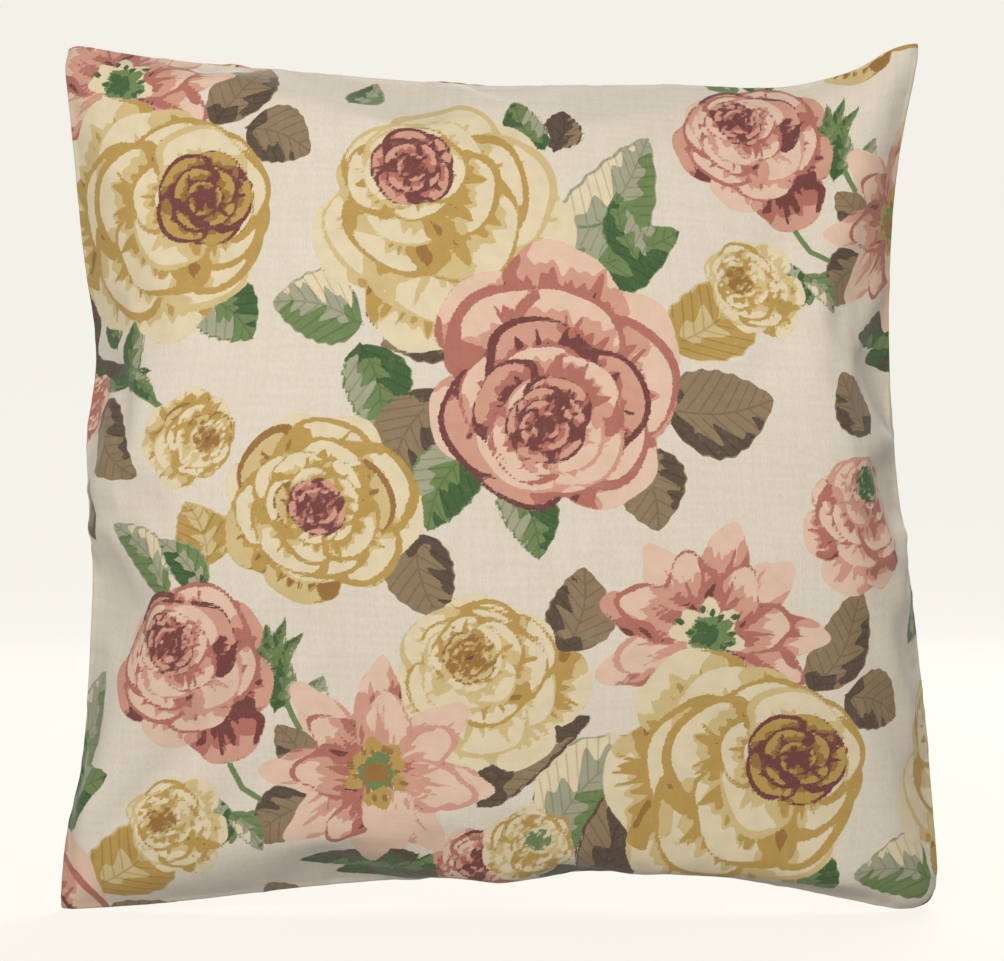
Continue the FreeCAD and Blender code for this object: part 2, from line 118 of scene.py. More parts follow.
def sewn_bag(cells):
    """Flat bag of two grids; returns its object and the vertex number of [panel][row][column]."""
    numbers = np.zeros((2, cells + 1, cells + 1), int)
    points = []
    for panel in (FRONT, BACK):
        for row in range(cells + 1):
            for column in range(cells + 1):
                on_seam = row in (0, cells) or column in (0, cells)
                if panel == BACK and on_seam:
                    numbers[BACK, row, column] = numbers[FRONT, row, column]
                    continue
                u, v = column / cells, row / cells
                puff = 0.02 * math.sqrt(math.sin(math.pi * u) * math.sin(math.pi * v) + 1e-12)
                depth = 0 if on_seam else puff * (1 if panel == BACK else -1)
                numbers[panel, row, column] = len(points)
                points.append(((u - 0.5) * SIDE, depth, (v - 0.5) * SIDE))
    mesh = bpy.data.meshes.new("bag")
    mesh.from_pydata(points, [], bag_faces(numbers))
    bag = bpy.data.objects.new("bag", mesh)
    bpy.context.scene.collection.objects.link(bag)
    return bag, numbers


print("squares in the bag:", 2 * CELLS ** 2)

# %% Inflate it
def inflate(bag, frames):
    """Blow the bag up with the cloth solver and return its points."""
    cloth = bag.modifiers.new("inflate", "CLOTH")
    settings = cloth.settings
    settings.quality = 6
    settings.mass = 0.15
    settings.tension_stiffness = settings.compression_stiffness = 40
    settings.shear_stiffness = 14
    settings.bending_stiffness = 1.2
    settings.tension_damping = settings.compression_damping = 15
    settings.shear_damping = 10
    settings.use_pressure = True
    settings.uniform_pressure_force = 2.2
    settings.effector_weights.gravity = 0
    cloth.collision_settings.use_collision = False
    scene = bpy.context.scene
    scene.frame_start, scene.frame_end = 1, frames
    cloth.point_cache.frame_start, cloth.point_cache.frame_end = 1, frames
    for number in range(1, frames + 1):
        scene.frame_set(number)
    shaped = bag.evaluated_get(bpy.context.evaluated_depsgraph_get())
    points = np.zeros(len(bag.data.vertices) * 3)
    shaped.data.vertices.foreach_get("co", points)
    return points.reshape(-1, 3)


bag, grid_numbers = sewn_bag(CELLS)
inflated = inflate(bag, 40)
bpy.data.objects.remove(bag)
sim = inflated[grid_numbers]    # [panel, row, column, xyz]
print("inflated to", np.round(inflated.max(0) - inflated.min(0), 3), "m")

# %% [markdown]
# ## Dressing the pillow to its finished outline
#
# A filled pillow is never quite even. Its top corners stand up as ears, its sides pull in by
# a couple of centimetres, and its lower edge lifts between the two corners that it stands on.
# We describe that outline with a few points along each side, as insets from the straight line
# between two corners, and move the bag's seam onto it. A Coons patch carries the seam's
# movement smoothly inwards, so that the creases from the simulation stay where they are.

# %% Outline of the seam
CORNERS = {                     # x, z of the four corners before their tips bend
    "low_left": (-0.250, 0.000), "low_right": (0.251, -0.005),
    "top_left": (-0.249, 0.493), "top_right": (0.239, 0.494),
}
INSETS = {                      # share of the way along a side, inset towards the middle in mm
    "low": [(0, 0), (0.1, 4), (0.3, 16), (0.55, 25), (0.75, 23), (0.9, 10), (1, 0)],
    "top": [(0, 0), (0.09, 8), (0.16, 12), (0.27, 17), (0.5, 25), (0.7, 25), (0.87, 24),
            (0.93, 15), (0.965, 5), (1, 0)],
    "left": [(0, 0), (0.08, 3), (0.17, 12), (0.32, 17), (0.42, 18), (0.53, 14), (0.64, 20),
             (0.75, 13), (0.93, 4), (1, 0)],
    "right": [(0, 0), (0.1, 3), (0.2, 6), (0.32, 11), (0.44, 17), (0.6, 22), (0.77, 20),
              (0.88, 13), (0.96, 4), (1, 0)],
}


def smooth_through(points, where):
    """Cubic curve through (place, value) points, with slopes taken from their neighbours."""
    place = np.array([p[0] for p in points], float)
    value = np.array([p[1] for p in points], float)
    slope = np.gradient(value, place)
    k = np.clip(np.searchsorted(place, where) - 1, 0, len(place) - 2)
    gap = place[k + 1] - place[k]
    t = (where - place[k]) / gap
    return ((2 * t ** 3 - 3 * t ** 2 + 1) * value[k] + (t ** 3 - 2 * t ** 2 + t) * gap * slope[k]
            + (3 * t ** 2 - 2 * t ** 3) * value[k + 1] + (t ** 3 - t ** 2) * gap * slope[k + 1])


def seam_side(name, start, end, inward, share):
    """Points x, z of one side of the outline."""
    a, b = np.array(CORNERS[start]), np.array(CORNERS[end])
    inset = smooth_through(INSETS[name], share) * MM
    return a + share[:, None] * (b - a) + inset[:, None] * np.array(inward)


def calm(line, passes):
    """Line of points with its small waves smoothed out and its ends kept."""
    line = line.copy()
    for _ in range(passes):
        line[1:-1] = 0.25 * line[:-2] + 0.5 * line[1:-1] + 0.25 * line[2:]
    return line


# %% Move the seam onto the outline
share = np.linspace(0, 1, CELLS + 1)
targets = {
    "low": seam_side("low", "low_left", "low_right", (0, 1), share),
    "top": seam_side("top", "top_left", "top_right", (0, -1), share),
    "left": seam_side("left", "low_left", "top_left", (1, 0), share),
    "right": seam_side("right", "low_right", "top_right", (-1, 0), share),
}
edges = {"low": sim[FRONT, 0], "top": sim[FRONT, -1],
         "left": sim[FRONT, :, 0], "right": sim[FRONT, :, -1]}
SMOOTH_PASSES = int(0.03 * CELLS ** 2)
moves = {side: targets[side] - calm(edges[side][:, [0, 2]], SMOOTH_PASSES) for side in edges}
for side in ("low", "top", "left", "right"):
    moves[side][0] = targets[side][0] - edges[side][0, [0, 2]]
    moves[side][-1] = targets[side][-1] - edges[side][-1, [0, 2]]
u = share[None, :, None]
v = share[:, None, None]
coons = ((1 - v) * moves["low"][None] + v * moves["top"][None]
         + (1 - u) * moves["left"][:, None] + u * moves["right"][:, None]
         - (1 - u) * (1 - v) * moves["low"][0] - u * (1 - v) * moves["low"][-1]
         - (1 - u) * v * moves["top"][0] - u * v * moves["top"][-1])
pillow = sim.copy()
pillow[..., 0] += coons[None, ..., 0]
pillow[..., 2] += coons[None, ..., 1]
print("seam moved by up to", round(float(np.abs(coons).max()), 3), "m")

# %% Iron the seam's own waves
IRONED = 0.92                   # share of each wave that the stiff seam takes out
IRON_REACH = 0.045              # how far inside the seam the cloth follows
gaps = {"low": v, "top": 1 - v, "left": u, "right": 1 - u}
for side in edges:
    line = edges[side][:, [0, 2]]
    wave = IRONED * (line - calm(line, SMOOTH_PASSES))
    wave = wave[None] if side in ("low", "top") else wave[:, None]
    fade = np.exp(-((gaps[side] * SIDE / IRON_REACH) ** 2))
    pillow[..., [0, 2]] -= (wave * fade)[None]
print("seam outline from", np.round(pillow[FRONT, 0, 0], 3), "to", np.round(pillow[FRONT, -1, -1], 3))

# %% [markdown]
# ## From a coarse bag to fine cloth
#
# The solver's grid is too coarse to carry a printed edge or a sewn fold. A cubic B-spline
# surface through its points gives a smooth place for any spot on the flat cloth, so each
# panel is cut out again as a fine grid, with extra rows where the cloth turns in at a seam.
# A subdivision modifier would also smooth the bag, but it could not put a row of points
# exactly along the edge of the zip's opening.

# %% A smooth surface through the grid
def pad(grid):
    """Grid with one more line beyond each edge, so that a B-spline ends on the edge itself."""
    grid = np.concatenate([2 * grid[:1] - grid[1:2], grid, 2 * grid[-1:] - grid[-2:-1]], 0)
    return np.concatenate([2 * grid[:, :1] - grid[:, 1:2], grid, 2 * grid[:, -1:] - grid[:, -2:-1]], 1)


def spline_terms(t):
    """The four cubic B-spline weights at t from 0 to 1."""
    return [(1 - t) ** 3 / 6, (3 * t ** 3 - 6 * t ** 2 + 4) / 6,
            (-3 * t ** 3 + 3 * t ** 2 + 3 * t + 1) / 6, t ** 3 / 6]


def on_cloth(panel, u, v):
    """Points of one panel at places u, v of the flat cloth, each from 0 to 1."""
    grid = pad(pillow[panel])
    column, row = np.clip(u, 0, 1) * CELLS, np.clip(v, 0, 1) * CELLS
    i = np.clip(column.astype(int), 0, CELLS - 1)
    j = np.clip(row.astype(int), 0, CELLS - 1)
    total = np.zeros(u.shape + (3,))
    for b, across in enumerate(spline_terms(row - j)):
        for a, along in enumerate(spline_terms(column - i)):
            total += (across * along)[..., None] * grid[j + b, i + a]
    return total


def smoothstep(low, high, x):
    """Share from 0 to 1 that eases in and out as x goes from low to high."""
    t = np.clip((x - low) / (high - low), 0, 1)
    return t * t * (3 - 2 * t)


# %% [markdown]
# ## Plumpness, and how the pillow slumps
#
# The filling settles, so the pillow is fattest a little below its middle. At the top the back
# panel stands a finger's width above the seam, which leaves a crease in front of it, and low on
# the right the front panel sags over the lower seam.

# %% Soften the folds
SOFTENED = 0.35                 # share of each small fold that the stuffing pushes out again


def softened(grid, passes):
    """Grid of points blurred towards its neighbours, with its edge kept."""
    soft = grid.copy()
    for _ in range(passes):
        soft[1:-1, 1:-1] = 0.5 * soft[1:-1, 1:-1] + 0.125 * (
            soft[:-2, 1:-1] + soft[2:, 1:-1] + soft[1:-1, :-2] + soft[1:-1, 2:])
    return soft


for panel in (FRONT, BACK):
    pillow[panel] += SOFTENED * (softened(pillow[panel], SMOOTH_PASSES // 12) - pillow[panel])
print("passes of softening:", SMOOTH_PASSES // 12)

# %% Depth, top crease and lower sag
HALF_DEPTH = (cad_high.y - cad_low.y) / 2
BACK_RISE = 0.009               # how far the back panel stands above the top seam
FRONT_SAG = 0.014               # how far the front panel sags over the lower seam
FATTEST_AT, SLUMP = 0.45, 0.22  # height share of full depth, and how much depth sinks below it
CREASE_FROM = 0.86              # height share where the top crease starts
SAG_AT, SAG_WIDE, SAG_HIGH = 0.76, 0.17, 0.16
plump = 1 + SLUMP * (FATTEST_AT - v[..., 0])
pillow[..., 1] *= plump[None]
pillow[FRONT, ..., 1] *= HALF_DEPTH / -pillow[FRONT, ..., 1].min()
pillow[BACK, ..., 1] *= HALF_DEPTH / pillow[BACK, ..., 1].max()
row, column = v[..., 0], u[..., 0]
crease = np.sin(math.pi * np.clip(column, 0, 1)) ** 0.7
crease = crease * np.sin(math.pi * smoothstep(CREASE_FROM, 1, row))
pillow[BACK, ..., 2] += BACK_RISE * crease
sag = np.exp(-((column - SAG_AT) / SAG_WIDE) ** 4)
sag = sag * np.sin(math.pi * (1 - smoothstep(0, SAG_HIGH, row)))
pillow[FRONT, ..., 2] -= FRONT_SAG * sag
print("half depth", round(HALF_DEPTH, 4), "m")

# %% [markdown]
# ## The curled corner tips
#
# The point of a sewn corner holds no filling, so it curls over. We roll each tip round a small
# cylinder that lies across the corner's diagonal: a point past the fold line keeps its distance
# along the cloth, and only its direction turns.

# %% Roll the tips
TIPS = [        # corner, length of cloth past the fold line, how far it curls in degrees
    ("top_left", 0.020, 75), ("top_right", 0.014, 55),
    ("low_left", 0.010, 60), ("low_right", 0.030, 100),
]
MIDDLE = np.mean(list(CORNERS.values()), axis=0)


def curl_tips(points):
    points = points.copy()
    for corner, reach, degrees in TIPS:
        tip = np.array(CORNERS[corner])
        outward = (tip - MIDDLE) / np.linalg.norm(tip - MIDDLE)
        past = (points[..., [0, 2]] - tip) @ outward + reach
        radius = reach / math.radians(degrees)
        angle = np.clip(past, 0, None) / radius
        depth = points[..., 1]
        along = (radius - depth) * np.sin(angle) - np.clip(past, 0, None)
        points[..., 0] += along * outward[0]
        points[..., 2] += along * outward[1]
        points[..., 1] += (radius - depth) * (1 - np.cos(angle))
    return points


print("tips rolled:", [tip[0] for tip in TIPS])

# %% Lay the back along the zip
FLAT_BAND = 0.016               # cloth that is sewn to the zip's tapes
EASE_BAND = 0.085               # where the cloth is free again
HELD_TO, FREE_FROM = 0.198, 0.228       # x where the zip's hold starts to fade, and ends
FLOOR_SOFT = 0.002              # height at which the floor begins to press the cloth


def lay_on_zip(points, above):
    """Pull back-panel points near the zip onto its arc; above is their distance over the zip."""
    near = 1 - smoothstep(FLAT_BAND, EASE_BAND, np.abs(above))
    weight = (near * (1 - smoothstep(HELD_TO, FREE_FROM, np.abs(points[..., 0]))))[..., None]
    x = points[..., 0]
    arc = np.sqrt(ARC_RADIUS ** 2 - x ** 2) + ARC_Y
    return points * (1 - weight) + np.stack([x, arc, ZIP_Z + above], -1) * weight


def rest_on_floor(points):
    """Flatten what would reach below the floor, with a soft start."""
    points = points.copy()
    height = points[..., 2]
    pressed = FLOOR_SOFT * np.exp((height - FLOOR_SOFT) / FLOOR_SOFT)
    points[..., 2] = np.where(height < FLOOR_SOFT, pressed, height)
    return points


middle_row = on_cloth(BACK, np.full(400, 0.5), np.linspace(0, 1, 400))[:, 2]
ZIP_V = float(np.interp(ZIP_Z, middle_row, np.linspace(0, 1, 400)))
print(f"the zip is sewn {ZIP_V:.3f} of the way up the back")

# %% [markdown]
# ## Seams and gathers
#
# Where two panels meet, each one rolls in over its own seam allowance, so a knife edge is a
# fine groove between two soft lips. The stitches also draw the cloth up a little, which shows
# as short ripples that die out a centimetre from the seam.

# %% Ripples along the seams
def ripple(along, seed):
    """Uneven wave along a seam, from sines whose lengths don't share a rhythm."""
    waves = [(0.0172, 1.0, 0.3), (0.0111, 0.7, 1.9), (0.0289, 1.1, 4.1), (0.0677, 0.9, 2.2)]
    total = sum(size * np.sin(2 * math.pi * along / length + phase + seed)
                for length, size, phase in waves)
    return total / sum(size for _, size, _ in waves)


def normals_of(points):
    """Unit normals of a grid of points, outward for a panel whose columns run along its face."""
    across = np.gradient(points, axis=1)
    up = np.gradient(points, axis=0)
    normal = np.cross(across, up)
    return normal / np.maximum(np.linalg.norm(normal, axis=-1, keepdims=True), 1e-12)


GATHER, GATHER_REACH = 1.3 * MM, 11 * MM        # height of the ripples, and how far in they die out
LIP, LIP_AT, LIP_WIDE = 0.5 * MM, 2.2 * MM, 1.3 * MM
GROOVE, GROOVE_WIDE = 1.1 * MM, 0.5 * MM


def gather_seams(points, u, v, outward, sides):
    """Raise the lips and ripples beside the named seams, and sink the seam lines themselves."""
    normal = normals_of(points) * outward
    gaps = {"left": u * SIDE, "right": (1 - u) * SIDE, "low": v * SIDE, "top": (1 - v) * SIDE}
    lengths = {"left": v, "right": v + 3, "low": u + 5, "top": u + 7}
    points = points.copy()
    for side in sides:
        gap = gaps[side]
        fade = np.exp(-gap / GATHER_REACH) * smoothstep(0, 0.004, gap)
        lip = np.exp(-((gap - LIP_AT) / LIP_WIDE) ** 2)
        amount = GATHER * fade * ripple(lengths[side] * SIDE, outward) + LIP * lip
        points += amount[..., None] * normal
    nearest = np.min([gaps[side] for side in sides], axis=0)
    inward = (PILLOW_MIDDLE - points) * [1, 0, 1]
    inward /= np.linalg.norm(inward, axis=-1, keepdims=True)
    return points + (GROOVE * np.exp(-nearest / GROOVE_WIDE))[..., None] * inward


# %% Cut the panels
FINE = 292       # columns of a finished panel
ALLOWANCE = 0.008                       # cloth turned in behind each seam
BESIDE_SEAM = [0, 0.8, 1.7, 2.8]        # mm from a seam to the lines that follow its lip
EVEN_FROM = 0.0085                      # share of a side where even spacing takes over


def seam_lines(low, high, count):
    """Places of grid lines from low to high, closer together beside a seam at either end."""
    tight = np.array(BESIDE_SEAM) * MM / SIDE
    even = np.linspace(low + EVEN_FROM, high - EVEN_FROM, count)
    return np.concatenate([low + tight, even, high - tight[::-1]])


# %% A grid of points as a mesh
def add_grid(name, points, uv, material, ring=False):
    """Mesh of a grid of points, with the flat cloth's own coordinates as its UV map.

    A ring's last row is its first row again, so the two are welded.
    """
    rows, columns = points.shape[:2]
    flat_index = np.arange(rows * columns).reshape(rows, columns)
    index = flat_index % ((rows - 1) * columns) if ring else flat_index
    corners = [(slice(None, -1), slice(None, -1)), (slice(None, -1), slice(1, None)),
               (slice(1, None), slice(1, None)), (slice(1, None), slice(None, -1))]
    quads = np.stack([index[c] for c in corners], -1).reshape(-1, 4)
    flat_quads = np.stack([flat_index[c] for c in corners], -1).ravel()
    mesh = bpy.data.meshes.new(name)
    kept = points[:-1] if ring else points
    mesh.from_pydata(kept.reshape(-1, 3).tolist(), [], quads.tolist())
    mesh.polygons.foreach_set("use_smooth", np.ones(len(mesh.polygons), bool))
    layer = mesh.uv_layers.new(name="OFBake")
    layer.data.foreach_set("uv", uv.reshape(-1, 2)[flat_quads].astype(np.float32).ravel())
    mesh.materials.append(material)
    thing = bpy.data.objects.new(name, mesh)
    bpy.context.scene.collection.objects.link(thing)
    return thing


# %% Turn the edges in, and lay the front
def turn_in(points, uv, side):
    """Add the seam allowance behind one side of a panel, as one more line of points."""
    line = {"low": np.s_[:1], "top": np.s_[-1:], "left": np.s_[:, :1], "right": np.s_[:, -1:]}[side]
    edge, edge_uv = points[line], uv[line]
    inward = (PILLOW_MIDDLE - edge) * [1, 0, 1]
    inner = edge + inward / np.linalg.norm(inward, axis=-1, keepdims=True) * ALLOWANCE
    axis = 0 if side in ("low", "top") else 1
    first = side in ("low", "left")
    join = [(inner, points), (edge_uv, uv)] if first else [(points, inner), (uv, edge_uv)]
    return [np.concatenate(pair, axis) for pair in join]


def front_panel():
    """The printed front, all one piece."""
    lines = seam_lines(0, 1, FINE)
    u, v = np.meshgrid(lines, lines)
    points = on_cloth(FRONT, u, v)
    points = gather_seams(points, u, v, 1, ("left", "right", "low", "top"))
    points = rest_on_floor(curl_tips(points))
    uv = np.stack([u, v], -1)
    for side in ("low", "top", "left", "right"):
        points, uv = turn_in(points, uv, side)
    return points, uv


# %% The opening for the zip
SHUT_GAP = 0.2 * MM                     # half the gap of the closed seam beyond the zip


def opening_edge(x):
    """Half the gap that the cloth leaves round the zip, at each place along it."""
    along = ARC_RADIUS * np.arcsin(np.clip(x / ARC_RADIUS, -1, 1))
    opened = 1 - smoothstep(SLOT_END - 2 * MM, SLOT_END + MM, abs(along))
    return SHUT_GAP + (SLOT_HALF - SHUT_GAP) * opened


FOLD = [(7.0, 0.85), (0.6, 0.8), (-0.1, 0.55), (-0.1, 0.25)]    # mm past the edge, and under it
STITCH_MARGIN = 3.65 * MM               # folded edge to the row of stitches


def hem_wave(x, gap, way):
    """How far the cloth stands out beside the zip, at a gap from its folded edge."""
    pucker = np.exp(-gap / 0.012) * ripple(x * 1.7, 2.0 + way)
    sunk = np.exp(-((gap - STITCH_MARGIN) / (1.6 * MM)) ** 2)
    return 0.35 * MM * pucker - 0.12 * MM * sunk


# %% Half of the back
def back_panel(upper):
    """One back panel, from its folded edge along the zip to the pillow's edge."""
    way = 1 if upper else -1
    columns = seam_lines(0, 1, FINE)
    zip_row = on_cloth(BACK, columns, np.full_like(columns, ZIP_V))
    x = lay_on_zip(zip_row, np.zeros_like(columns))[:, 0]
    edge = opening_edge(x)
    reach = (1 - ZIP_V if upper else ZIP_V) * SIDE
    count = int(FINE * reach / SIDE)
    steps = np.concatenate([np.linspace(0, 0.05, 12), seam_lines(0.05, 1, count)[4:]])
    above = edge[None] + steps[:, None] * (reach - edge[None])
    u, v = np.broadcast_to(columns[None], above.shape), ZIP_V + way * above / SIDE
    points = lay_on_zip(on_cloth(BACK, u, v), way * above)
    points = gather_seams(points, u, v, -1, ("left", "right", "top" if upper else "low"))
    normal = normals_of(points)
    normal *= np.sign(normal[..., 1:2])
    points += hem_wave(x[None], above - edge[None], way)[..., None] * normal
    hem, hem_uv = [], []
    for past, under in FOLD:
        row = points[0] - normal[0] * under * MM
        row[:, 2] += way * past * MM
        hem.append(row)
        hem_uv.append(np.stack([columns, ZIP_V + way * (edge - past * MM) / SIDE], -1))
    points = np.concatenate([np.array(hem), points])
    uv = np.concatenate([np.array(hem_uv), np.stack([u, v], -1)])
    points = rest_on_floor(curl_tips(points))
    if not upper:
        points, uv = points[::-1], uv[::-1]
    for side in ("left", "right", "top" if upper else "low"):
        points, uv = turn_in(points, uv, side)
    return points[:, ::-1], uv[:, ::-1]

# %% [markdown]
# ## The print, ink by ink
#
# Furnishing linen is screen printed: each colour is one ink, pushed through its own screen, light
# inks first and dark inks over them, and the whole design repeats in a half drop, every second
# column half a repeat lower. We do the same. For each point of the cloth and each ink we keep one
# number, how many millimetres the point lies inside that ink's shapes. Such a distance can be
# blended between neighbouring points and still gives a sharp printed edge where it crosses zero,
# so the flowers stay crisp on a mesh of modest size, with no picture file.

# %% Inks, from the first screen to the last
INKS = ["cream", "blush", "straw", "pink", "sage", "taupe", "leaf", "ochre", "rose", "umber",
        "pine", "bark", "wine"]
REPEAT = ((314.0, 303.0), (314.0, -303.0))      # half-drop steps of the design, in mm of cloth
FAR = -9.0                                      # depth of a point that no shape comes near


class PrintedCloth:
    """For each point of a panel: its place in mm, its depth inside each ink, and its grain."""

    def __init__(self, uv, offset=(0, 0), mirrored=False):
        place = uv.reshape(-1, 2) * SIDE / MM
        if mirrored:
            place = place * [-1, 1] + [SIDE / MM, 0]
        self.place = place + offset
        self.depth = np.full((len(INKS), len(place)), FAR)
        self.grain = np.zeros((len(place), 3))

    def near(self, centre, reach):
        """Numbers of the points within reach of a centre, and their places from it."""
        gap = self.place - centre
        rows = np.flatnonzero((np.abs(gap) < reach).all(1))
        return rows, gap[rows]

    def base(self, rows, ink, depth):
        """Lay a shape that hides whatever was there."""
        others = [n for n in range(len(INKS)) if n != INKS.index(ink)]
        self.depth[np.ix_(others, rows)] = np.minimum(self.depth[np.ix_(others, rows)], -depth)
        own = INKS.index(ink)
        self.depth[own, rows] = np.maximum(self.depth[own, rows], depth)

    def shade(self, rows, ink, depth):
        """Overprint a shape: only the inks of later screens give way to it."""
        own = INKS.index(ink)
        self.depth[own, rows] = np.maximum(self.depth[own, rows], depth)
        for later in range(own + 1, len(INKS)):
            self.depth[later, rows] = np.minimum(self.depth[later, rows], -depth)

    def set_grain(self, rows, inside, along, across, touch):
        """Way that the brush ran inside a shape, and its touch: up to 0.5 on petals, 1 on leaves."""
        keep = rows[inside]
        self.grain[keep] = np.stack([along[inside], across[inside],
                                     np.full(len(keep), float(touch))], -1)


def turned(gap, degrees):
    """Coordinates along and across a direction."""
    way = math.radians(degrees)
    return (gap[:, 0] * math.cos(way) + gap[:, 1] * math.sin(way),
            -gap[:, 0] * math.sin(way) + gap[:, 1] * math.cos(way))


def wavy(where, rng, cycles):
    """Smooth uneven wave from -1 to 1 with about the given numbers of cycles."""
    total = sum(np.sin(2 * math.pi * (count * where + rng.random())) for count in cycles)
    return total / len(cycles)


# %% [markdown]
# ### Petals
#
# A painted petal is a blob with a wavy rim. Its foot, towards the flower's heart, lies in shade,
# and the shade reaches out over it in brush-like fingers. Its rim is lighter where it catches the
# light, and it throws a shadow on the petals behind it. All flowers are built from this one
# shape. A ramp names four inks from light to deep, and a petal's level says where on the ramp
# its own colour lies.

# %% One petal
RAMPS = {
    "yellow": ("cream", "straw", "ochre", "umber"), "pink": ("blush", "pink", "rose", "wine"),
    "amber": ("straw", "ochre", "umber", "wine"), "red": ("pink", "rose", "wine", "bark"),
    "green": ("cream", "sage", "leaf", "pine"),
}


def petal(cloth, heart, degrees, offset, length, width, ramp, level, shade, rng,
          point=0.0, curved=True, shadow=0.12):
    """Petal whose middle is offset from the heart; it wraps round the heart if curved."""
    inks = [RAMPS[ramp][min(max(level + step, 0), 3)] for step in (-1, 0, 1, 2)]
    heart = np.array(heart)
    way = np.array([math.cos(math.radians(degrees)), math.sin(math.radians(degrees))])
    rows, gap = cloth.near(heart + way * offset, 1.5 * max(length, width) + 3)
    phases = np.random.default_rng(int(rng.integers(1 << 30)))
    if len(rows) == 0:
        return
    along, across = turned(gap, degrees)
    if curved:
        far = np.hypot(along + offset, across)
        across = np.arctan2(across, along + offset) * offset
        along = far - offset
    size = math.sqrt(length * width)
    round_it = np.arctan2(across / width, along / length) / (2 * math.pi)
    depth = (1 - np.hypot(along / length, across / width)) * size
    depth += 0.075 * size * wavy(round_it, phases, (3, 5, 8))
    depth += point * size * (np.clip(np.cos(2 * math.pi * round_it), 0, 1) ** 9 - 0.25)
    out = (along + length) / (2 * length)
    if shadow:
        spread = shadow * (1 + 1.1 * wavy(round_it, phases, (1, 2, 4)))
        thrown = depth + size * spread * (out > 0.25)
        cloth.shade(rows, inks[2], thrown)
    cloth.base(rows, inks[1], depth)
    inside = depth > -1.0
    cloth.set_grain(rows, inside, along + offset, across, 0.5 * min(1.0, size / 13))
    fingers = 0.24 * wavy(across / width, phases, (1.3, 2.6, 4.3))
    side = across / width * phases.choice([-1, 1])
    fringe = 0.22 * wavy(out, phases, (1.1, 2.3))
    lit = np.minimum((out - 0.74 - 0.5 * fingers) * 2 * length, (0.45 + fringe - side) * width)
    cloth.shade(rows, inks[0], np.minimum(depth + 0.2, lit))
    in_shade = np.maximum((shade + fingers - out) * 2 * length, (side - 0.55 + fringe) * width)
    cloth.shade(rows, inks[2], np.minimum(depth - 0.4, in_shade))
    deep = np.maximum((0.5 * shade + 1.2 * fingers - out) * 2 * length,
                      (side - 0.82 + 0.7 * fringe) * width)
    cloth.shade(rows, inks[3], np.minimum(depth - 0.7, deep))
    for _ in range(3):
        lane, reach = (phases.random() - 0.5) * 1.3, 0.55 + 0.35 * phases.random()
        stroke = 0.055 * width * (1 - out / reach) * 2 + 0.25 - np.abs(across - lane * width * out)
        cloth.shade(rows, inks[2], np.minimum(depth - 0.7, np.minimum(stroke, (reach - out) * length)))


# %% [markdown]
# ### Roses
#
# A full rose is rings of petals, each ring nearer the heart than the one before and darker.
# The outer rings are centred on the flower and the inner ones on the heart, which sits off
# centre because the flower is seen from the side.

# %% A rose
RINGS = [       # petals, distance out, half length, half width, shadow: shares of the radius
    (7, 0.68, 0.32, 0.38, 0.0), (6, 0.52, 0.33, 0.40, 0.11), (5, 0.42, 0.28, 0.38, 0.12),
    (5, 0.33, 0.22, 0.31, 0.11), (5, 0.24, 0.15, 0.25, 0.09),
]
HEART = [       # petals, distance out, half length, half width
    (5, 0.17, 0.12, 0.17), (4, 0.10, 0.10, 0.14), (3, 0.05, 0.06, 0.08),
]
TONES = {0: (0, 1, 1, 1, 0), 1: (0, 1, 1, 1, 2)}       # levels of a light and of a deeper flower


def rose(cloth, place, radius, heart, ramp, level, heart_ramp, heart_level, seed, open_heart=1.0):
    """Cabbage rose; heart is its heart's place from the middle, open_heart how wide it opens."""
    rng = np.random.default_rng(seed)
    place, heart = np.array(place), np.array(heart)
    for ring, (count, out, length, width, shadow) in enumerate(RINGS):
        lean = (ring / (len(RINGS) - 1)) ** 0.8
        middle = place + heart * lean
        first = rng.random() * 360
        for n in rng.permutation(count):
            degrees = first + 360 / count * (n + 0.35 * (rng.random() - 0.5))
            way = np.array([math.cos(math.radians(degrees)), math.sin(math.radians(degrees))])
            stretch = 1 - 0.30 * (1 - lean) * float(way @ heart) / radius
            scale = radius * (0.90 + 0.20 * rng.random()) * stretch
            tone = rng.choice(TONES[level])
            petal(cloth, middle, degrees, out * scale, length * scale, width * scale,
                  ramp, int(tone), 0.56 + 0.02 * ring + 0.16 * (rng.random() - 0.5), rng,
                  point=0.06, shadow=shadow)
    middle = place + heart
    for ring, (count, out, length, width) in enumerate(HEART):
        first = rng.random() * 360
        for n in range(count):
            degrees = first + 360 / count * n
            scale = radius * open_heart
            petal(cloth, middle, degrees, out * scale, length * scale, width * scale,
                  heart_ramp, heart_level, 0.46 + 0.05 * ring, rng)


print("petals of a rose:", sum(ring[0] for ring in RINGS + HEART))

# %% [markdown]
# ### Open flowers
#
# Anemones and lilies show long pointed petals round a tuft of stamens. The petals are the same
# shape, drawn longer, with a second, smaller ring over the first.

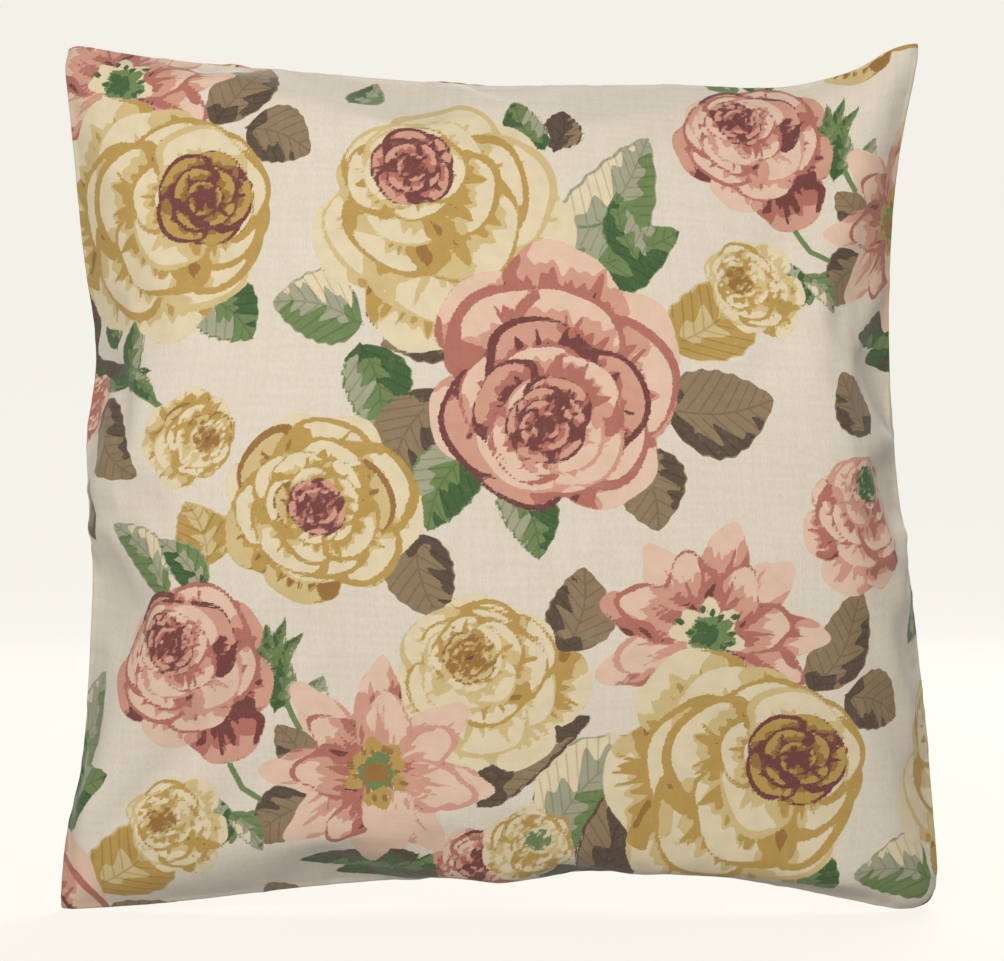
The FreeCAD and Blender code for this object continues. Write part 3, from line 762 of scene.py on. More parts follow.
# %% An open flower
def open_flower(cloth, place, radius, centre, counts, ramp, level, tuft, seed, width=0.25):
    """Star of pointed petals; tuft is the three inks of the stamens, from the ground up."""
    rng = np.random.default_rng(seed)
    middle = np.array(place) + np.array(centre)
    for ring, count in enumerate(counts):
        first = rng.random() * 360
        for n in rng.permutation(count):
            degrees = first + 360 / count * (n + 0.25 * (rng.random() - 0.5))
            way = np.array([math.cos(math.radians(degrees)), math.sin(math.radians(degrees))])
            reach = radius * (1 - 0.27 * ring) * (0.9 + 0.2 * rng.random())
            reach *= 1 - 0.8 * float(way @ np.array(centre)) / radius
            petal(cloth, middle, degrees, 0.56 * reach, 0.46 * reach, width * radius,
                  ramp, level + int(rng.choice([-1, 0, 0, 1])), 0.40 + 0.1 * rng.random(), rng,
                  point=0.26, curved=False, shadow=0.10 * ring)
    for count, out, size, ink in ((9, 0.17, 0.085, tuft[0]), (13, 0.12, 0.05, tuft[1]),
                                  (15, 0.21, 0.022, tuft[2]), (8, 0.07, 0.03, tuft[2])):
        for n in range(count):
            way = 2 * math.pi * (n + 0.6 * rng.random()) / count
            far = out * radius * (0.6 + 0.8 * rng.random())
            spot = middle + [far * math.cos(way), far * math.sin(way)]
            rows, gap = cloth.near(spot, 1.6 * size * radius + 2)
            long, short = turned(gap, math.degrees(way))
            depth = (1 - np.hypot(long / 1.6, short) / (size * radius)) * size * radius
            cloth.base(rows, ink, depth)


# %% [markdown]
# ### Leaves and stems
#
# Rose leaves are toothed ovals with a midrib and slanting side veins. We lay the leaf's own
# ink, then a darker one over one half with its edge along the veins, and hand the leaf's own
# coordinates to the shader, which draws the fine veins.

# %% Leaves and stems
LEAF_INKS = {               # for each colour and depth: base, shade and lights
    "green": [(0.25, "sage", "leaf", "cream"), (0.42, "sage", "pine", "leaf"),
              (0.75, "leaf", "pine", "sage"), (1.0, "pine", "bark", "leaf")],
    "brown": [(0.80, "taupe", "bark", "taupe"), (1.0, "bark", "bark", "taupe")],
    "yellow": [(1.0, "straw", "ochre", "ochre")],
}


def leaf(cloth, colour, base, tip, width, tone, seed):
    """Toothed leaf from its base to its tip; tone runs from 0 for pale to 1 for deep."""
    rng = np.random.default_rng(seed)
    base, tip = np.array(base, float), np.array(tip, float)
    long = float(np.linalg.norm(tip - base))
    degrees = math.degrees(math.atan2(*(tip - base)[::-1]))
    rows, gap = cloth.near((base + tip) / 2, 0.62 * max(long, width) + 3)
    if len(rows) == 0:
        return
    along, across = turned(gap, degrees)
    along = along + long / 2
    bend = 0.10 * long * rng.choice([-1, 1]) * np.sin(math.pi * np.clip(along / long, 0, 1))
    across = across - bend
    t = np.clip(along / long, 0, 1)
    profile = np.sin(math.pi * t ** 0.8) ** 0.72 * width / 2
    teeth = 0.035 * width * (2 * np.abs((along / long * 7 + 0.2) % 1 - 0.5) - 0.5)
    ends = np.minimum(along, long - along)
    depth = np.minimum(profile + teeth - np.abs(across), ends + 1.5) * 0.9
    _, ground, dark, light = next(row for row in LEAF_INKS[colour] if tone <= row[0])
    cloth.base(rows, ground, depth)
    cloth.set_grain(rows, depth > -1.0, along, across, 1)
    slant = (along - 0.8 * np.abs(across)) / long
    half = across * rng.choice([-1, 1])
    blades = 0.16 * width * wavy(slant, rng, (3.0, 5.2))
    if dark != ground:
        edge = 0.25 if colour == "brown" else 0.12
        cloth.shade(rows, dark, np.minimum(depth - 0.6, half - edge * width + blades))
        foot = (0.16 + 0.08 * wavy(across / width, rng, (1.7, 2.9)) - t) * long
        cloth.shade(rows, dark, np.minimum(depth - 0.6, foot))
    if light != ground:
        patch = -half - 0.13 * width + blades - 0.25 * width * np.abs(t - 0.55)
        cloth.shade(rows, light, np.minimum(depth - 1.0, patch))


def stem(cloth, points, ink, thick):
    """Stem of even thickness through a few points."""
    for a, b in zip(points[:-1], points[1:]):
        a, b = np.array(a, float), np.array(b, float)
        rows, gap = cloth.near((a + b) / 2, np.linalg.norm(b - a) / 2 + 4)
        along = np.clip((gap + (b - a) / 2) @ (b - a) / ((b - a) @ (b - a)), 0, 1)
        depth = thick / 2 - np.linalg.norm(gap + (b - a) / 2 - along[:, None] * (b - a), axis=1)
        cloth.base(rows, ink, depth)


print("leaf colours:", list(LEAF_INKS))

# %% [markdown]
# ### The design
#
# The garden is set out by where each thing shows on the front, in millimetres from the middle
# of the lower edge. The cloth curves, so pin() finds the spot of flat cloth that ends up there,
# and the design is drawn round that. Everything is then stamped again at each step of the
# repeat, so what runs off one side comes back on the other.

# %% Where things show on the front
LEAVES = [      # colour, base, tip, width, depth of colour
    ("brown", (-11, 329), (-72, 336), 35, 0.75), ("brown", (-17, 321), (-65, 318), 23, 0.35),
    ("brown", (169, 129), (196, 186), 32, 0.4),
    ("brown", (189, 127), (220, 113), 35, 0.55), ("green", (-166, 346), (-135, 323), 37, 0.55),
    ("green", (-76, 329), (-125, 342), 40, 0.15), ("green", (-75, 317), (-66, 267), 35, 0.5),
    ("brown", (-31, 293), (-58, 238), 34, 0.7), ("green", (-12, 263), (-40, 217), 34, 0.6),
    ("green", (3, 246), (20, 201), 29, 0.45), ("brown", (67, 264), (85, 216), 38, 0.55),
    ("brown", (88, 283), (148, 288), 48, 0.6), ("green", (29, 368), (81, 432), 44, 0.2),
    ("green", (14, 362), (96, 380), 44, 0.72), ("brown", (29, 426), (34, 449), 23, 0.95),
    ("green", (25, 426), (7, 454), 23, 0.65), ("yellow", (91, 317), (140, 359), 42, 0.45),
    ("brown", (-46, 216), (-31, 169), 35, 0.45), ("brown", (34, 151), (44, 196), 35, 0.45),
    ("yellow", (-160, 198), (-170, 231), 31, 0.55), ("green", (-180, 182), (-213, 221), 25, 0.2),
    ("green", (-161, 182), (-186, 211), 20, 0.3), ("green", (-18, 38), (-92, 24), 27, 0.9),
    ("green", (18, 32), (88, 21), 24, 0.85), ("green", (-238, 62), (-232, 104), 22, 0.5),
    ("brown", (-101, 71), (-122, 111), 28, 0.75),
    ("brown", (-97, 68), (-137, 45), 32, 0.6), ("green", (25, 46), (82, 104), 54, 0.15),
    ("brown", (-11, 66), (48, 115), 29, 0.92), ("green", (-45, 37), (-112, 33), 24, 0.8),
    ("green", (23, 57), (-72, 23), 23, 0.88), ("green", (34, 25), (126, 18), 19, 0.85),
    ("brown", (57, 25), (85, 96), 34, 0.92),
    ("brown", (204, 269), (186, 302), 32, 0.5), ("green", (-204, 294), (-198, 337), 20, 0.62),
    ("green", (-214, 318), (-224, 349), 23, 0.5), ("green", (-209, 301), (-188, 288), 12, 0.7),
    ("brown", (-222, 288), (-199, 246), 32, 0.5), ("green", (-101, 113), (-96, 138), 16, 0.2),
    ("green", (-154, 42), (-157, 69), 14, 0.35), ("green", (-147, 60), (-131, 40), 15, 0.1),
    ("green", (229, 154), (232, 185), 19, 0.3), ("brown", (-226, 211), (-231, 245), 17, 0.8),
]
STEMS = [
    [(-119, 131), (-113, 117), (-103, 100)], [(-152, 96), (-143, 74), (-122, 63)],
    [(-122, 63), (-137, 60), (-149, 45)], [(-101, 120), (-104, 112), (-103, 100)],
    [(-180, 182), (-175, 177), (-170, 170)], [(-198, 292), (-192, 288), (-182, 281)],
]
ROSES = [       # place, radius, heart from the middle, petals' ramp and level, heart's, seed
    ((-34, 385), 70, (-14, 30), "yellow", 0, "red", 1, 11, 1.1),
    ((32, 294), 68, (-5, -20), "pink", 1, "red", 1, 12),
    ((-96, 229), 50, (-2, 1), "yellow", 1, "red", 1, 13),
    ((-172, 140), 47, (-9, 14), "pink", 1, "red", 1, 14),
    ((-7, 136), 46, (-8, 11), "yellow", 0, "amber", 1, 15),
    ((-181, 52), 27, (-8, 3), "yellow", 0, "yellow", 2, 16),
    ((-167, 267), 24, (9, -1), "yellow", 1, "amber", 1, 17),
    ((198, 223), 34, (7, 20), "pink", 0, "green", 2, 18),
    ((-237, 287), 19, (0, 4), "pink", 0, "pink", 1, 19),
    ((-12, 31), 25, (2, 5), "pink", 1, "red", 1, 26),
    ((16, 44), 24, (4, 4), "yellow", 0, "green", 1, 20),
]
ANEMONE = ((112, 154), 60, (0, 7), (9, 8), "pink", 1, ("cream", "leaf", "pine"), 21)
LILY = ((-63, 85), 55, (-3, -1), (8, 7), "pink", 0, ("ochre", "leaf", "umber"), 22)
GREAT_ROSE = ((133, 85), 69, (29, 9), "yellow", 0, "amber", 2, 31, 1.35)
BUD = (-120, 140)
STEM_THICK = 2.6
WIDEST = 110                    # mm that any shape may reach from its first spot
print(len(LEAVES), "leaves and", len(ROSES) + 1, "roses")

# %% Find a spot of flat cloth, and draw the garden
pin_lines = np.linspace(0.004, 0.996, 180)
pin_u, pin_v = np.meshgrid(pin_lines, pin_lines)
pin_points = curl_tips(on_cloth(FRONT, pin_u, pin_v))[..., [0, 2]] / MM


def pin(place):
    """Place on the flat cloth, in mm, of a spot seen on the front at x, z in mm."""
    miss = np.linalg.norm(pin_points - np.array(place), axis=-1)
    row, column = np.unravel_index(miss.argmin(), miss.shape)
    return np.array([pin_u[row, column], pin_v[row, column]]) * SIDE / MM


def draw_garden(cloth):
    """Draw the whole design on a panel, at every step of the repeat that may reach it."""
    steps = [(i, j) for i in range(-3, 4) for j in range(-3, 4)]
    shifts = [i * np.array(REPEAT[0]) + j * np.array(REPEAT[1]) for i, j in steps]
    low, high = cloth.place.min(0) - WIDEST, cloth.place.max(0) + WIDEST

    def everywhere(draw, *spots):
        spots = [pin(spot) for spot in spots]
        for shift in shifts:
            if (spots[0] + shift > low).all() and (spots[0] + shift < high).all():
                draw(*[spot + shift for spot in spots])

    for line in STEMS:
        everywhere(lambda *points: stem(cloth, points, "leaf", STEM_THICK), *line)
    for number, (colour, base, tip, width, tone) in enumerate(LEAVES):
        everywhere(lambda a, b: leaf(cloth, colour, a, b, width, tone, 100 + number), base, tip)
    everywhere(lambda spot: bud(cloth, spot), BUD)
    for flower in ROSES:
        everywhere(lambda spot: rose(cloth, spot, *flower[1:]), flower[0])
    for flower in (ANEMONE, LILY):
        everywhere(lambda spot: open_flower(cloth, spot, *flower[1:]), flower[0])
    everywhere(lambda spot: rose(cloth, spot, *GREAT_ROSE[1:]), GREAT_ROSE[0])


def bud(cloth, spot):
    """Green rosebud: a swollen foot and five narrow sepals."""
    for degrees, long in ((60, 22), (84, 27), (105, 26), (128, 22), (150, 17)):
        way = math.radians(degrees)
        leaf(cloth, "green", spot, spot + [long * math.cos(way), long * math.sin(way)], 7, 0.55, 5)
    leaf(cloth, "green", spot - [4, 22], spot + [1, 10], 13, 0.6, 6)


def store_print(thing, cloth):
    """Keep the inks and the grain as attributes of the panel's points."""
    for group in range(4):
        inks = cloth.depth[group * 4:group * 4 + 4]
        layer = thing.data.attributes.new(f"inks_{group}", "FLOAT_COLOR", "POINT")
        values = np.full((len(cloth.place), 4), FAR)
        values[:, :len(inks)] = np.clip(inks.T, FAR, -FAR)
        layer.data.foreach_set("color", values.astype(np.float32).ravel())
    layer = thing.data.attributes.new("grain", "FLOAT_VECTOR", "POINT")
    layer.data.foreach_set("vector", cloth.grain.astype(np.float32).ravel())

# %% [markdown]
# ## Shader maths as plain sums
#
# A finish is a net of shader nodes. Wired by hand it takes a page; written as sums it reads like
# the recipe that it is. A Wire is one output of a node. Adding or multiplying wires adds the
# Math nodes, or Vector Math nodes where a colour or a direction is meant.

# %% Wires and finishes
class Wire:
    """One output of a shader node, which can be used in sums."""

    def __init__(self, finish, socket):
        self.finish, self.socket = finish, socket

    def maths(self, operation, *values):
        """Math node on numbers, or Vector Math as soon as one value is a vector or a colour."""
        has_vector = any(isinstance(v, tuple) or isinstance(v, Wire) and
                         v.socket.type in ("VECTOR", "RGBA") for v in values)
        kind = "ShaderNodeVectorMath" if has_vector else "ShaderNodeMath"
        if has_vector:
            values = [(v, v, v) if isinstance(v, (int, float)) else v for v in values]
        return self.finish.node(kind, {"operation": operation}, dict(enumerate(values)))

    def __add__(self, other):
        return self.maths("ADD", self, other)

    def __radd__(self, other):
        return self.maths("ADD", other, self)

    def __sub__(self, other):
        return self.maths("SUBTRACT", self, other)

    def __rsub__(self, other):
        return self.maths("SUBTRACT", other, self)

    def __mul__(self, other):
        return self.maths("MULTIPLY", self, other)

    def __rmul__(self, other):
        return self.maths("MULTIPLY", other, self)

    def __mod__(self, other):
        return self.maths("FLOORED_MODULO", self, other)

    def __rmod__(self, other):
        return self.maths("FLOORED_MODULO", other, self)

    def __abs__(self):
        return self.maths("ABSOLUTE", self)

    def sine(self):
        return self.maths("SINE", self)

    def at_most(self, other):
        return self.maths("MINIMUM", self, other)

    def at_least(self, other):
        return self.maths("MAXIMUM", self, other)

    def ramp(self, low, high, start=0.0, end=1.0):
        """Smooth step from start to end as the value goes from low to high."""
        return self.finish.node("ShaderNodeMapRange", {"interpolation_type": "SMOOTHSTEP"}, {
            "Value": self, "From Min": low, "From Max": high, "To Min": start, "To Max": end})

    def part(self, axis):
        """One number of a vector, by its letter."""
        return self.finish.node("ShaderNodeSeparateXYZ", {}, {"Vector": self}, axis)


# %% Finishes
class Finish:
    """A material being mixed, on one Principled surface."""

    def __init__(self, name, **constants):
        self.material = bpy.data.materials.new(name)
        self.material.use_nodes = True
        self.tree = self.material.node_tree
        self.surface = self.tree.nodes["Principled BSDF"]
        for name, value in constants.items():
            socket = name.replace("_", " ").title().replace("Ior", "IOR")
            self.surface.inputs[socket].default_value = value

    def node(self, kind, settings, sockets, output=0):
        """Any node: its type, its settings, and the values or wires of its sockets."""
        made = self.tree.nodes.new(kind)
        for setting, value in settings.items():
            setattr(made, setting, value)
        for socket, value in sockets.items():
            if isinstance(value, Wire):
                self.tree.links.new(value.socket, made.inputs[socket])
            else:
                made.inputs[socket].default_value = value
        return Wire(self, made.outputs[output])

    def mix(self, a, b, amount):
        """Colour a blended towards colour b."""
        colours = {6: a, 7: b, 0: amount}
        return self.node("ShaderNodeMix", {"data_type": "RGBA"}, colours, 2)

    def noise(self, place, scale, detail=2.0, rough=0.5):
        """Smooth noise round 0.5, with scale lumps to each unit of place."""
        return self.node("ShaderNodeTexNoise", {}, {
            "Vector": place, "Scale": scale, "Detail": detail, "Roughness": rough})

    def bump(self, height, depth, strength=1.0):
        """Bump whose height of 1 stands for depth in metres."""
        return self.node("ShaderNodeBump", {}, {
            "Height": height, "Distance": depth, "Strength": strength}, "Normal")

    def attribute(self, name, output="Vector"):
        """Numbers that a mesh keeps for each of its points."""
        return self.node("ShaderNodeAttribute", {"attribute_name": name}, {}, output)

    def cloth_place(self):
        """Place on the flat cloth in millimetres, from the panel's UV map."""
        return self.node("ShaderNodeUVMap", {"uv_map": "OFBake"}, {}) * (SIDE / MM)

    def object_place(self):
        """Place in the part's own frame, in metres."""
        return self.node("ShaderNodeTexCoord", {}, {}, "Object")

    def wear(self, **wires):
        """Lead the wires into the surface's sockets, and hand back the material."""
        for name, wire in wires.items():
            target = self.surface.inputs[name.replace("_", " ").title()]
            self.tree.links.new(wire.socket, target)
        return self.material


# %% Colours as a paint card gives them
def ink_colour(red, green, blue):
    """Colour as a paint card gives it, from 0 to 255, turned into light."""
    def light(part):
        part /= 255
        return part / 12.92 if part <= 0.04045 else ((part + 0.055) / 1.055) ** 2.4
    return (light(red), light(green), light(blue), 1)


# %% [markdown]
# ## Printed linen
#
# Linen yarn is never even: it has thick slubs, so the plain weave shows faint bars both ways.
# The unbleached ground is a warm grey-cream. We draw the two sets of threads as sine waves that
# a stretched noise swells and thins, use them for the bump, paint shade into the hollows between
# them, and let them show a little through the ink. Each ink's edge is its distance field plus a
# fine noise that runs along the painted petal, which gives the dry-brush edge of a hand-drawn screen.

# %% Ink colours
INK_COLOURS = {
    "cream": ink_colour(230, 213, 177), "blush": ink_colour(231, 197, 172),
    "straw": ink_colour(212, 188, 132), "pink": ink_colour(212, 157, 135),
    "sage": ink_colour(166, 166, 138), "taupe": ink_colour(146, 124, 94),
    "leaf": ink_colour(114, 135, 84), "ochre": ink_colour(188, 153, 82),
    "rose": ink_colour(181, 113, 98), "umber": ink_colour(156, 114, 60),
    "pine": ink_colour(70, 98, 58), "bark": ink_colour(94, 77, 64),
    "wine": ink_colour(117, 66, 62),
}
NEAT_INKS = ("cream", "blush", "sage", "taupe")         # the pale screens print a clean edge
THREAD_PITCH = 0.72             # mm between neighbouring threads
SLUB_WIDE, SLUB_LONG = 3.0, 38.0        # mm of a thick place in the yarn
BRUSH_LONG, BRUSH_WIDE = 13.0, 1.7      # mm of a brush mark
VEIN_PITCH = 6.8                # mm between the side veins of a leaf
INK_EDGE = 0.22                 # mm over which an ink's edge fades
INK_TRAP = 0.30                 # mm that each ink spreads under the next, so that no gap is left
print("ink colours:", list(INK_COLOURS))


# %% The linen itself
def weave(finish, place, pitch):
    """Height from 0 to 1 of a plain weave, and its uneven thickness."""
    across, up = place.part("X"), place.part("Y")
    thick_up = finish.noise(place * (1 / SLUB_WIDE, 1 / SLUB_LONG, 0.0), 1.0, 2.0)
    thick_across = finish.noise(place * (1 / SLUB_LONG, 1 / SLUB_WIDE, 0.0), 1.0, 2.0)
    turn = math.pi / pitch
    warp = (across * turn + 2.2 * thick_up).sine()
    weft = (up * turn + 2.2 * thick_across).sine()
    over = (warp * weft) * 0.5 + 0.5
    uneven = (thick_up + thick_across) * 0.5
    return over, uneven


def bare_linen(finish, place, uneven, fleck):
    """Unbleached ground: grey-cream, lighter in the slubs, yellower in cloudy patches."""
    cloudy = finish.noise(place, 0.022, 3.0)
    threads = (uneven * 0.5 + fleck * 0.5).ramp(0.30, 0.70)
    ground = finish.mix(ink_colour(220, 207, 187), ink_colour(230, 219, 201), threads)
    return finish.mix(ground, ink_colour(211, 196, 170), cloudy.ramp(0.5, 0.85, 0.0, 0.35))


# %% One screen after another
def screened(finish, ground, neat, ragged):
    """Ground with all inks laid on it, and how far each spot is printed."""
    colour, printed = ground, None
    groups = [finish.attribute(f"inks_{n}", "Color") for n in range(4)]
    alphas = [finish.attribute(f"inks_{n}", "Alpha") for n in range(4)]
    for number, ink in enumerate(INKS):
        group, slot = divmod(number, 4)
        depth = alphas[group] if slot == 3 else groups[group].part("XYZ"[slot])
        rough_edge = neat if ink in NEAT_INKS else ragged
        mask = (depth + rough_edge).ramp(-INK_EDGE - INK_TRAP, INK_EDGE - INK_TRAP)
        colour = finish.mix(colour, INK_COLOURS[ink], mask)
        printed = mask if printed is None else printed.at_least(mask)
    return colour, printed


def veined(finish, colour, grain, brush, dry, printed):
    """Colour with fine darker veins wherever the grain says that a leaf is."""
    along, side, touch = grain.part("X"), grain.part("Y"), grain.part("Z")
    slant = (along - abs(side) * 0.85) + brush * 1.2
    rib = abs(slant % VEIN_PITCH - VEIN_PITCH / 2)
    midrib = (abs(side) + dry * 0.5).ramp(0.35, 0.8, 1.0, 0.0)
    vein = rib.ramp(0.3, 0.9, 1.0, 0.0).at_least(midrib)
    leafy = touch.ramp(0.6, 0.95) * printed
    return finish.mix(colour, colour * (0.66, 0.66, 0.62), vein * leafy * 0.75)


# %% The printed linen
def printed_linen():
    finish = Finish("printed_linen", roughness=0.86, specular_ior_level=0.28, sheen_weight=0.22,
                    sheen_roughness=0.45, sheen_tint=(1.0, 0.97, 0.92, 1))
    place = finish.cloth_place()
    over, uneven = weave(finish, place, THREAD_PITCH)
    fleck = finish.noise(place * (0.9, 0.30, 1.0), 1.1, 2.0)
    ground = bare_linen(finish, place, uneven, fleck)
    grain = finish.attribute("grain")
    brush = finish.noise(grain * (1 / BRUSH_LONG, 1 / BRUSH_WIDE, 0.0), 1.0, 2.0, 0.6) - 0.5
    dry = finish.noise(place, 1.15, 2.0, 0.6) - 0.5
    ragged = brush * (grain.part("Z") * 4.8).at_most(2.4) + dry * 0.9
    colour, printed = screened(finish, ground, dry * 0.8, ragged)
    colour = veined(finish, colour, grain, brush, dry, printed)
    wash = finish.noise(place, 0.11, 3.0).ramp(0.3, 0.75)
    colour = finish.mix(colour, colour * (0.93, 0.92, 0.90), wash * printed)
    thin = (uneven.ramp(0.52, 0.78) * 0.10 + fleck.ramp(0.56, 0.80) * 0.09) * printed
    colour = finish.mix(colour, ground, thin)
    # painted shade in the hollows of the weave, where the threads dip under; also a little darker
    # where the yarn is thin
    shade = over.ramp(0.0, 0.5, 0.955, 1.0) * uneven.ramp(0.25, 0.8, 0.985, 1.0)
    colour = finish.mix((0, 0, 0, 1), colour, shade)
    normal = finish.bump(over * 0.6 + uneven * 0.9 + fleck * 0.25, 0.00022, 0.7)
    return finish.wear(base_color=colour, normal=normal, roughness=printed * -0.05 + 0.88)


LINEN = printed_linen()
print("inks on the linen:", len(INKS))

# %% [markdown]
# ## Cutting out and laying the cover
#
# Each panel becomes a mesh, gets its share of the print and rides on the cushion. The back is
# cut from another stretch of the same cloth, so its roses fall elsewhere.

# %% The three panels of the cover
BACK_CUT = (140, 205)           # mm from the front's stretch of cloth to the back's


def cover_panel(name, points, uv, node, offset=(0, 0), mirrored=False):
    """Make one panel of printed cloth, which stands for a node of the frame."""
    panel = add_grid(name, points, uv, LINEN)
    cloth = PrintedCloth(uv, offset, mirrored)
    draw_garden(cloth)
    store_print(panel, cloth)
    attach(panel, "cushion")
    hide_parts(node)
    print(f"{name}: {len(panel.data.vertices)} points")
    return panel


front = cover_panel("front_panel", *front_panel(), "cover_front")
upper = cover_panel("back_panel_upper", *back_panel(True), "cover_back_upper", BACK_CUT, True)
lower = cover_panel("back_panel_lower", *back_panel(False), "cover_back_lower", BACK_CUT, True)

# %% [markdown]
# ## The insert
#
# Inside the cover is a plain cambric case, sewn from two squares, and the filling that plumps it.
# Neither shows, but they hold the cover out, so they follow the same pillow shape, a little
# smaller all round and thinner towards the seams. The case is two open sheets, and the filling
# is one closed pad.

# %% Cambric and filling
def plain_weave(name, low, high, pitch, depth, rough):
    """Plain-woven cloth of one colour, with uneven threads and painted shade in the hollows of the
    weave.
    """
    finish = Finish(name, roughness=rough, specular_ior_level=0.25)
    over, uneven = weave(finish, finish.cloth_place(), pitch)
    colour = finish.mix(ink_colour(*low), ink_colour(*high), uneven.ramp(0.3, 0.7))
    # painted shade: darker in the hollows of the weave, where the threads dip under
    colour = finish.mix((0, 0, 0, 1), colour, over.ramp(0.0, 0.5, 0.88, 1.0))
    return finish.wear(base_color=colour, normal=finish.bump(over + uneven, depth),
                       roughness=uneven.ramp(0.2, 0.8, rough - 0.04, rough + 0.04))


def fibre_fill():
    """Clumped fibre: soft lumps, and finer strands over them."""
    finish = Finish("fibre_fill", roughness=0.95, sheen_weight=0.3)
    place = finish.object_place()
    lumps = finish.noise(place, 60.0, 4.0, 0.6)
    strands = finish.noise(place * (1.0, 1.0, 4.0), 420.0, 3.0, 0.7)
    colour = finish.mix(ink_colour(226, 224, 218), ink_colour(250, 249, 246), lumps.ramp(0.3, 0.7))
    return finish.wear(base_color=colour, normal=finish.bump(lumps + strands * 0.3, 0.002),
                       roughness=strands.ramp(0.3, 0.7, 0.9, 1.0))


CAMBRIC = plain_weave("cambric", (228, 224, 214), (247, 245, 238), 0.32, 0.00012, 0.82)
FILLING = fibre_fill()
EDGE_ROOM = 0.005               # how strongly the case thins towards its seams
SLIDER_ROOM = 0.003             # how far it gives way behind the zip


def shrunk(points, sideways, deep):
    """Points drawn in towards the middle of the pillow, and clear of the zip's slider."""
    points = PILLOW_MIDDLE + (points - PILLOW_MIDDLE) * [sideways, deep, sideways]
    depth = np.abs(points[..., 1])
    points[..., 1] *= depth / (depth + EDGE_ROOM)
    near_zip = np.exp(-((points[..., 2] - ZIP_Z) / 0.03) ** 2) * (points[..., 1] > 0)
    points[..., 1] -= SLIDER_ROOM * near_zip * smoothstep(0, 0.03, points[..., 1])
    return points


def inside_cover(panel, points, v):
    """Cloth points as the cover holds them: the back follows the zip's arc."""
    return lay_on_zip(points, (v - ZIP_V) * SIDE) if panel == BACK else points


# %% The case
CASE_LINES, CASE_SIDE = 64, 0.48
CASE_WIDE, CASE_DEEP = 0.955, 0.91      # size of the case against the cover
case_lines = np.linspace(0, 1, CASE_LINES)
case_u, case_v = np.meshgrid(case_lines, case_lines)
for name, panel in (("insert_case_front_sheet", FRONT), ("insert_case_back_sheet", BACK)):
    points = inside_cover(panel, on_cloth(panel, case_u, case_v), case_v)
    points = shrunk(points, CASE_WIDE, CASE_DEEP)
    flat = np.stack([case_u, case_v], -1)
    if panel == BACK:
        points, flat = points[:, ::-1], flat[:, ::-1]
    sheet = add_grid(name, points, flat, CAMBRIC)
    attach(sheet, "cushion")
    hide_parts(name.replace("_sheet", ""))
print("case sheets:", CASE_LINES ** 2, "points each")

# %% The filling
FILL_WIDE, FILL_DEEP = 0.94, 0.85       # size of the filling against the cover
pad_points = np.zeros((grid_numbers.max() + 1, 3))
for panel in (FRONT, BACK):
    row_places = np.broadcast_to(share[:, None], pillow.shape[1:3])
    points = shrunk(inside_cover(panel, pillow[panel], row_places), FILL_WIDE, FILL_DEEP)
    pad_points[grid_numbers[panel].ravel()] = points.reshape(-1, 3)
pad_mesh = bpy.data.meshes.new("filling_pad")
pad_mesh.from_pydata(pad_points.tolist(), [], bag_faces(grid_numbers))
pad_mesh.polygons.foreach_set("use_smooth", np.ones(len(pad_mesh.polygons), bool))
pad_mesh.materials.append(FILLING)
filling = bpy.data.objects.new("filling_pad", pad_mesh)
bpy.context.scene.collection.objects.link(filling)
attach(filling, "cushion")
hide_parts("insert_filling")
print("filling points:", len(pad_points))

# %% [markdown]
# ## The cloth's own facts
#
# The cover was cut as a square front and two back pieces.

# %% [markdown]
# ## The zip
#
# The tapes are woven ribbons, sewn behind the folded edges of the back. Each one carries a
# nylon coil, which is one thick filament wound round and round: its bights are the teeth.
# We sweep small cross-sections along the zip's arc, and wind the coils as real helices, because
# modelled turns catch the light as teeth do and a texture would not.

# %% Sweeping along the arc
def on_arc(along, out, height):
    """Points of the zip: along its arc, out from the cloth's face, and above its centre line."""
    along, out, height = np.broadcast_arrays(along, out, height)
    angle, radius = along / ARC_RADIUS, ARC_RADIUS + out
    return np.stack([radius * np.sin(angle), ARC_Y + radius * np.cos(angle), ZIP_Z + height], -1)


def strip(name, ring, along, material):
    """Solid ribbon: a closed ring of (out, height) points in mm, swept and pinched shut."""
    ring = np.array(ring + ring[:1]) * MM
    ends = np.concatenate([along[:1], along, along[-1:]])
    out = np.repeat(ring[:, :1], len(ends), 1)
    height = np.repeat(ring[:, 1:], len(ends), 1)
    out[:, [0, -1]] = out.mean()
    across = np.linalg.norm(np.diff(ring, axis=0, prepend=ring[:1]), axis=1).cumsum()
    flat = np.stack(np.broadcast_arrays(ends[None], across[:, None]), -1) / SIDE
    return add_grid(name, on_arc(ends[None], out, height), flat, material, ring=True)


def tube(name, path, radius, sides, material):
    """Round thread or wire along a path of points."""
    ahead = np.gradient(path, axis=0)
    ahead /= np.linalg.norm(ahead, axis=1, keepdims=True)
    side = np.cross(ahead, [0.13, 0.97, 0.21])
    side /= np.linalg.norm(side, axis=1, keepdims=True)
    rise = np.cross(ahead, side)
    turn = np.linspace(0, 2 * math.pi, sides + 1)[:, None, None]
    thick = np.full((1, len(path), 1), radius)
    thick[0, [0, -1]] = radius * 0.15
    points = path[None] + thick * (np.cos(turn) * side[None] + np.sin(turn) * rise[None])
    length = np.linalg.norm(np.diff(path, axis=0, prepend=path[:1]), axis=1).cumsum()
    flat = np.stack(np.broadcast_arrays(length[None], turn[..., 0] * radius), -1) / SIDE
    return add_grid(name, points, flat, material, ring=True)


def joined(name, things):
    """Put several meshes into one object."""
    with bpy.context.temp_override(active_object=things[0], selected_editable_objects=things,
                                   object=things[0], selected_objects=things):
        bpy.ops.object.join()
    things[0].name = things[0].data.name = name
    return things[0]


# %% Zip finishes
HERRINGBONE, RIB_PITCH = 3.2, 0.8       # mm from turn to turn, and from rib to rib
PLY_PITCH = 0.42                        # mm between the bars of a two-ply thread


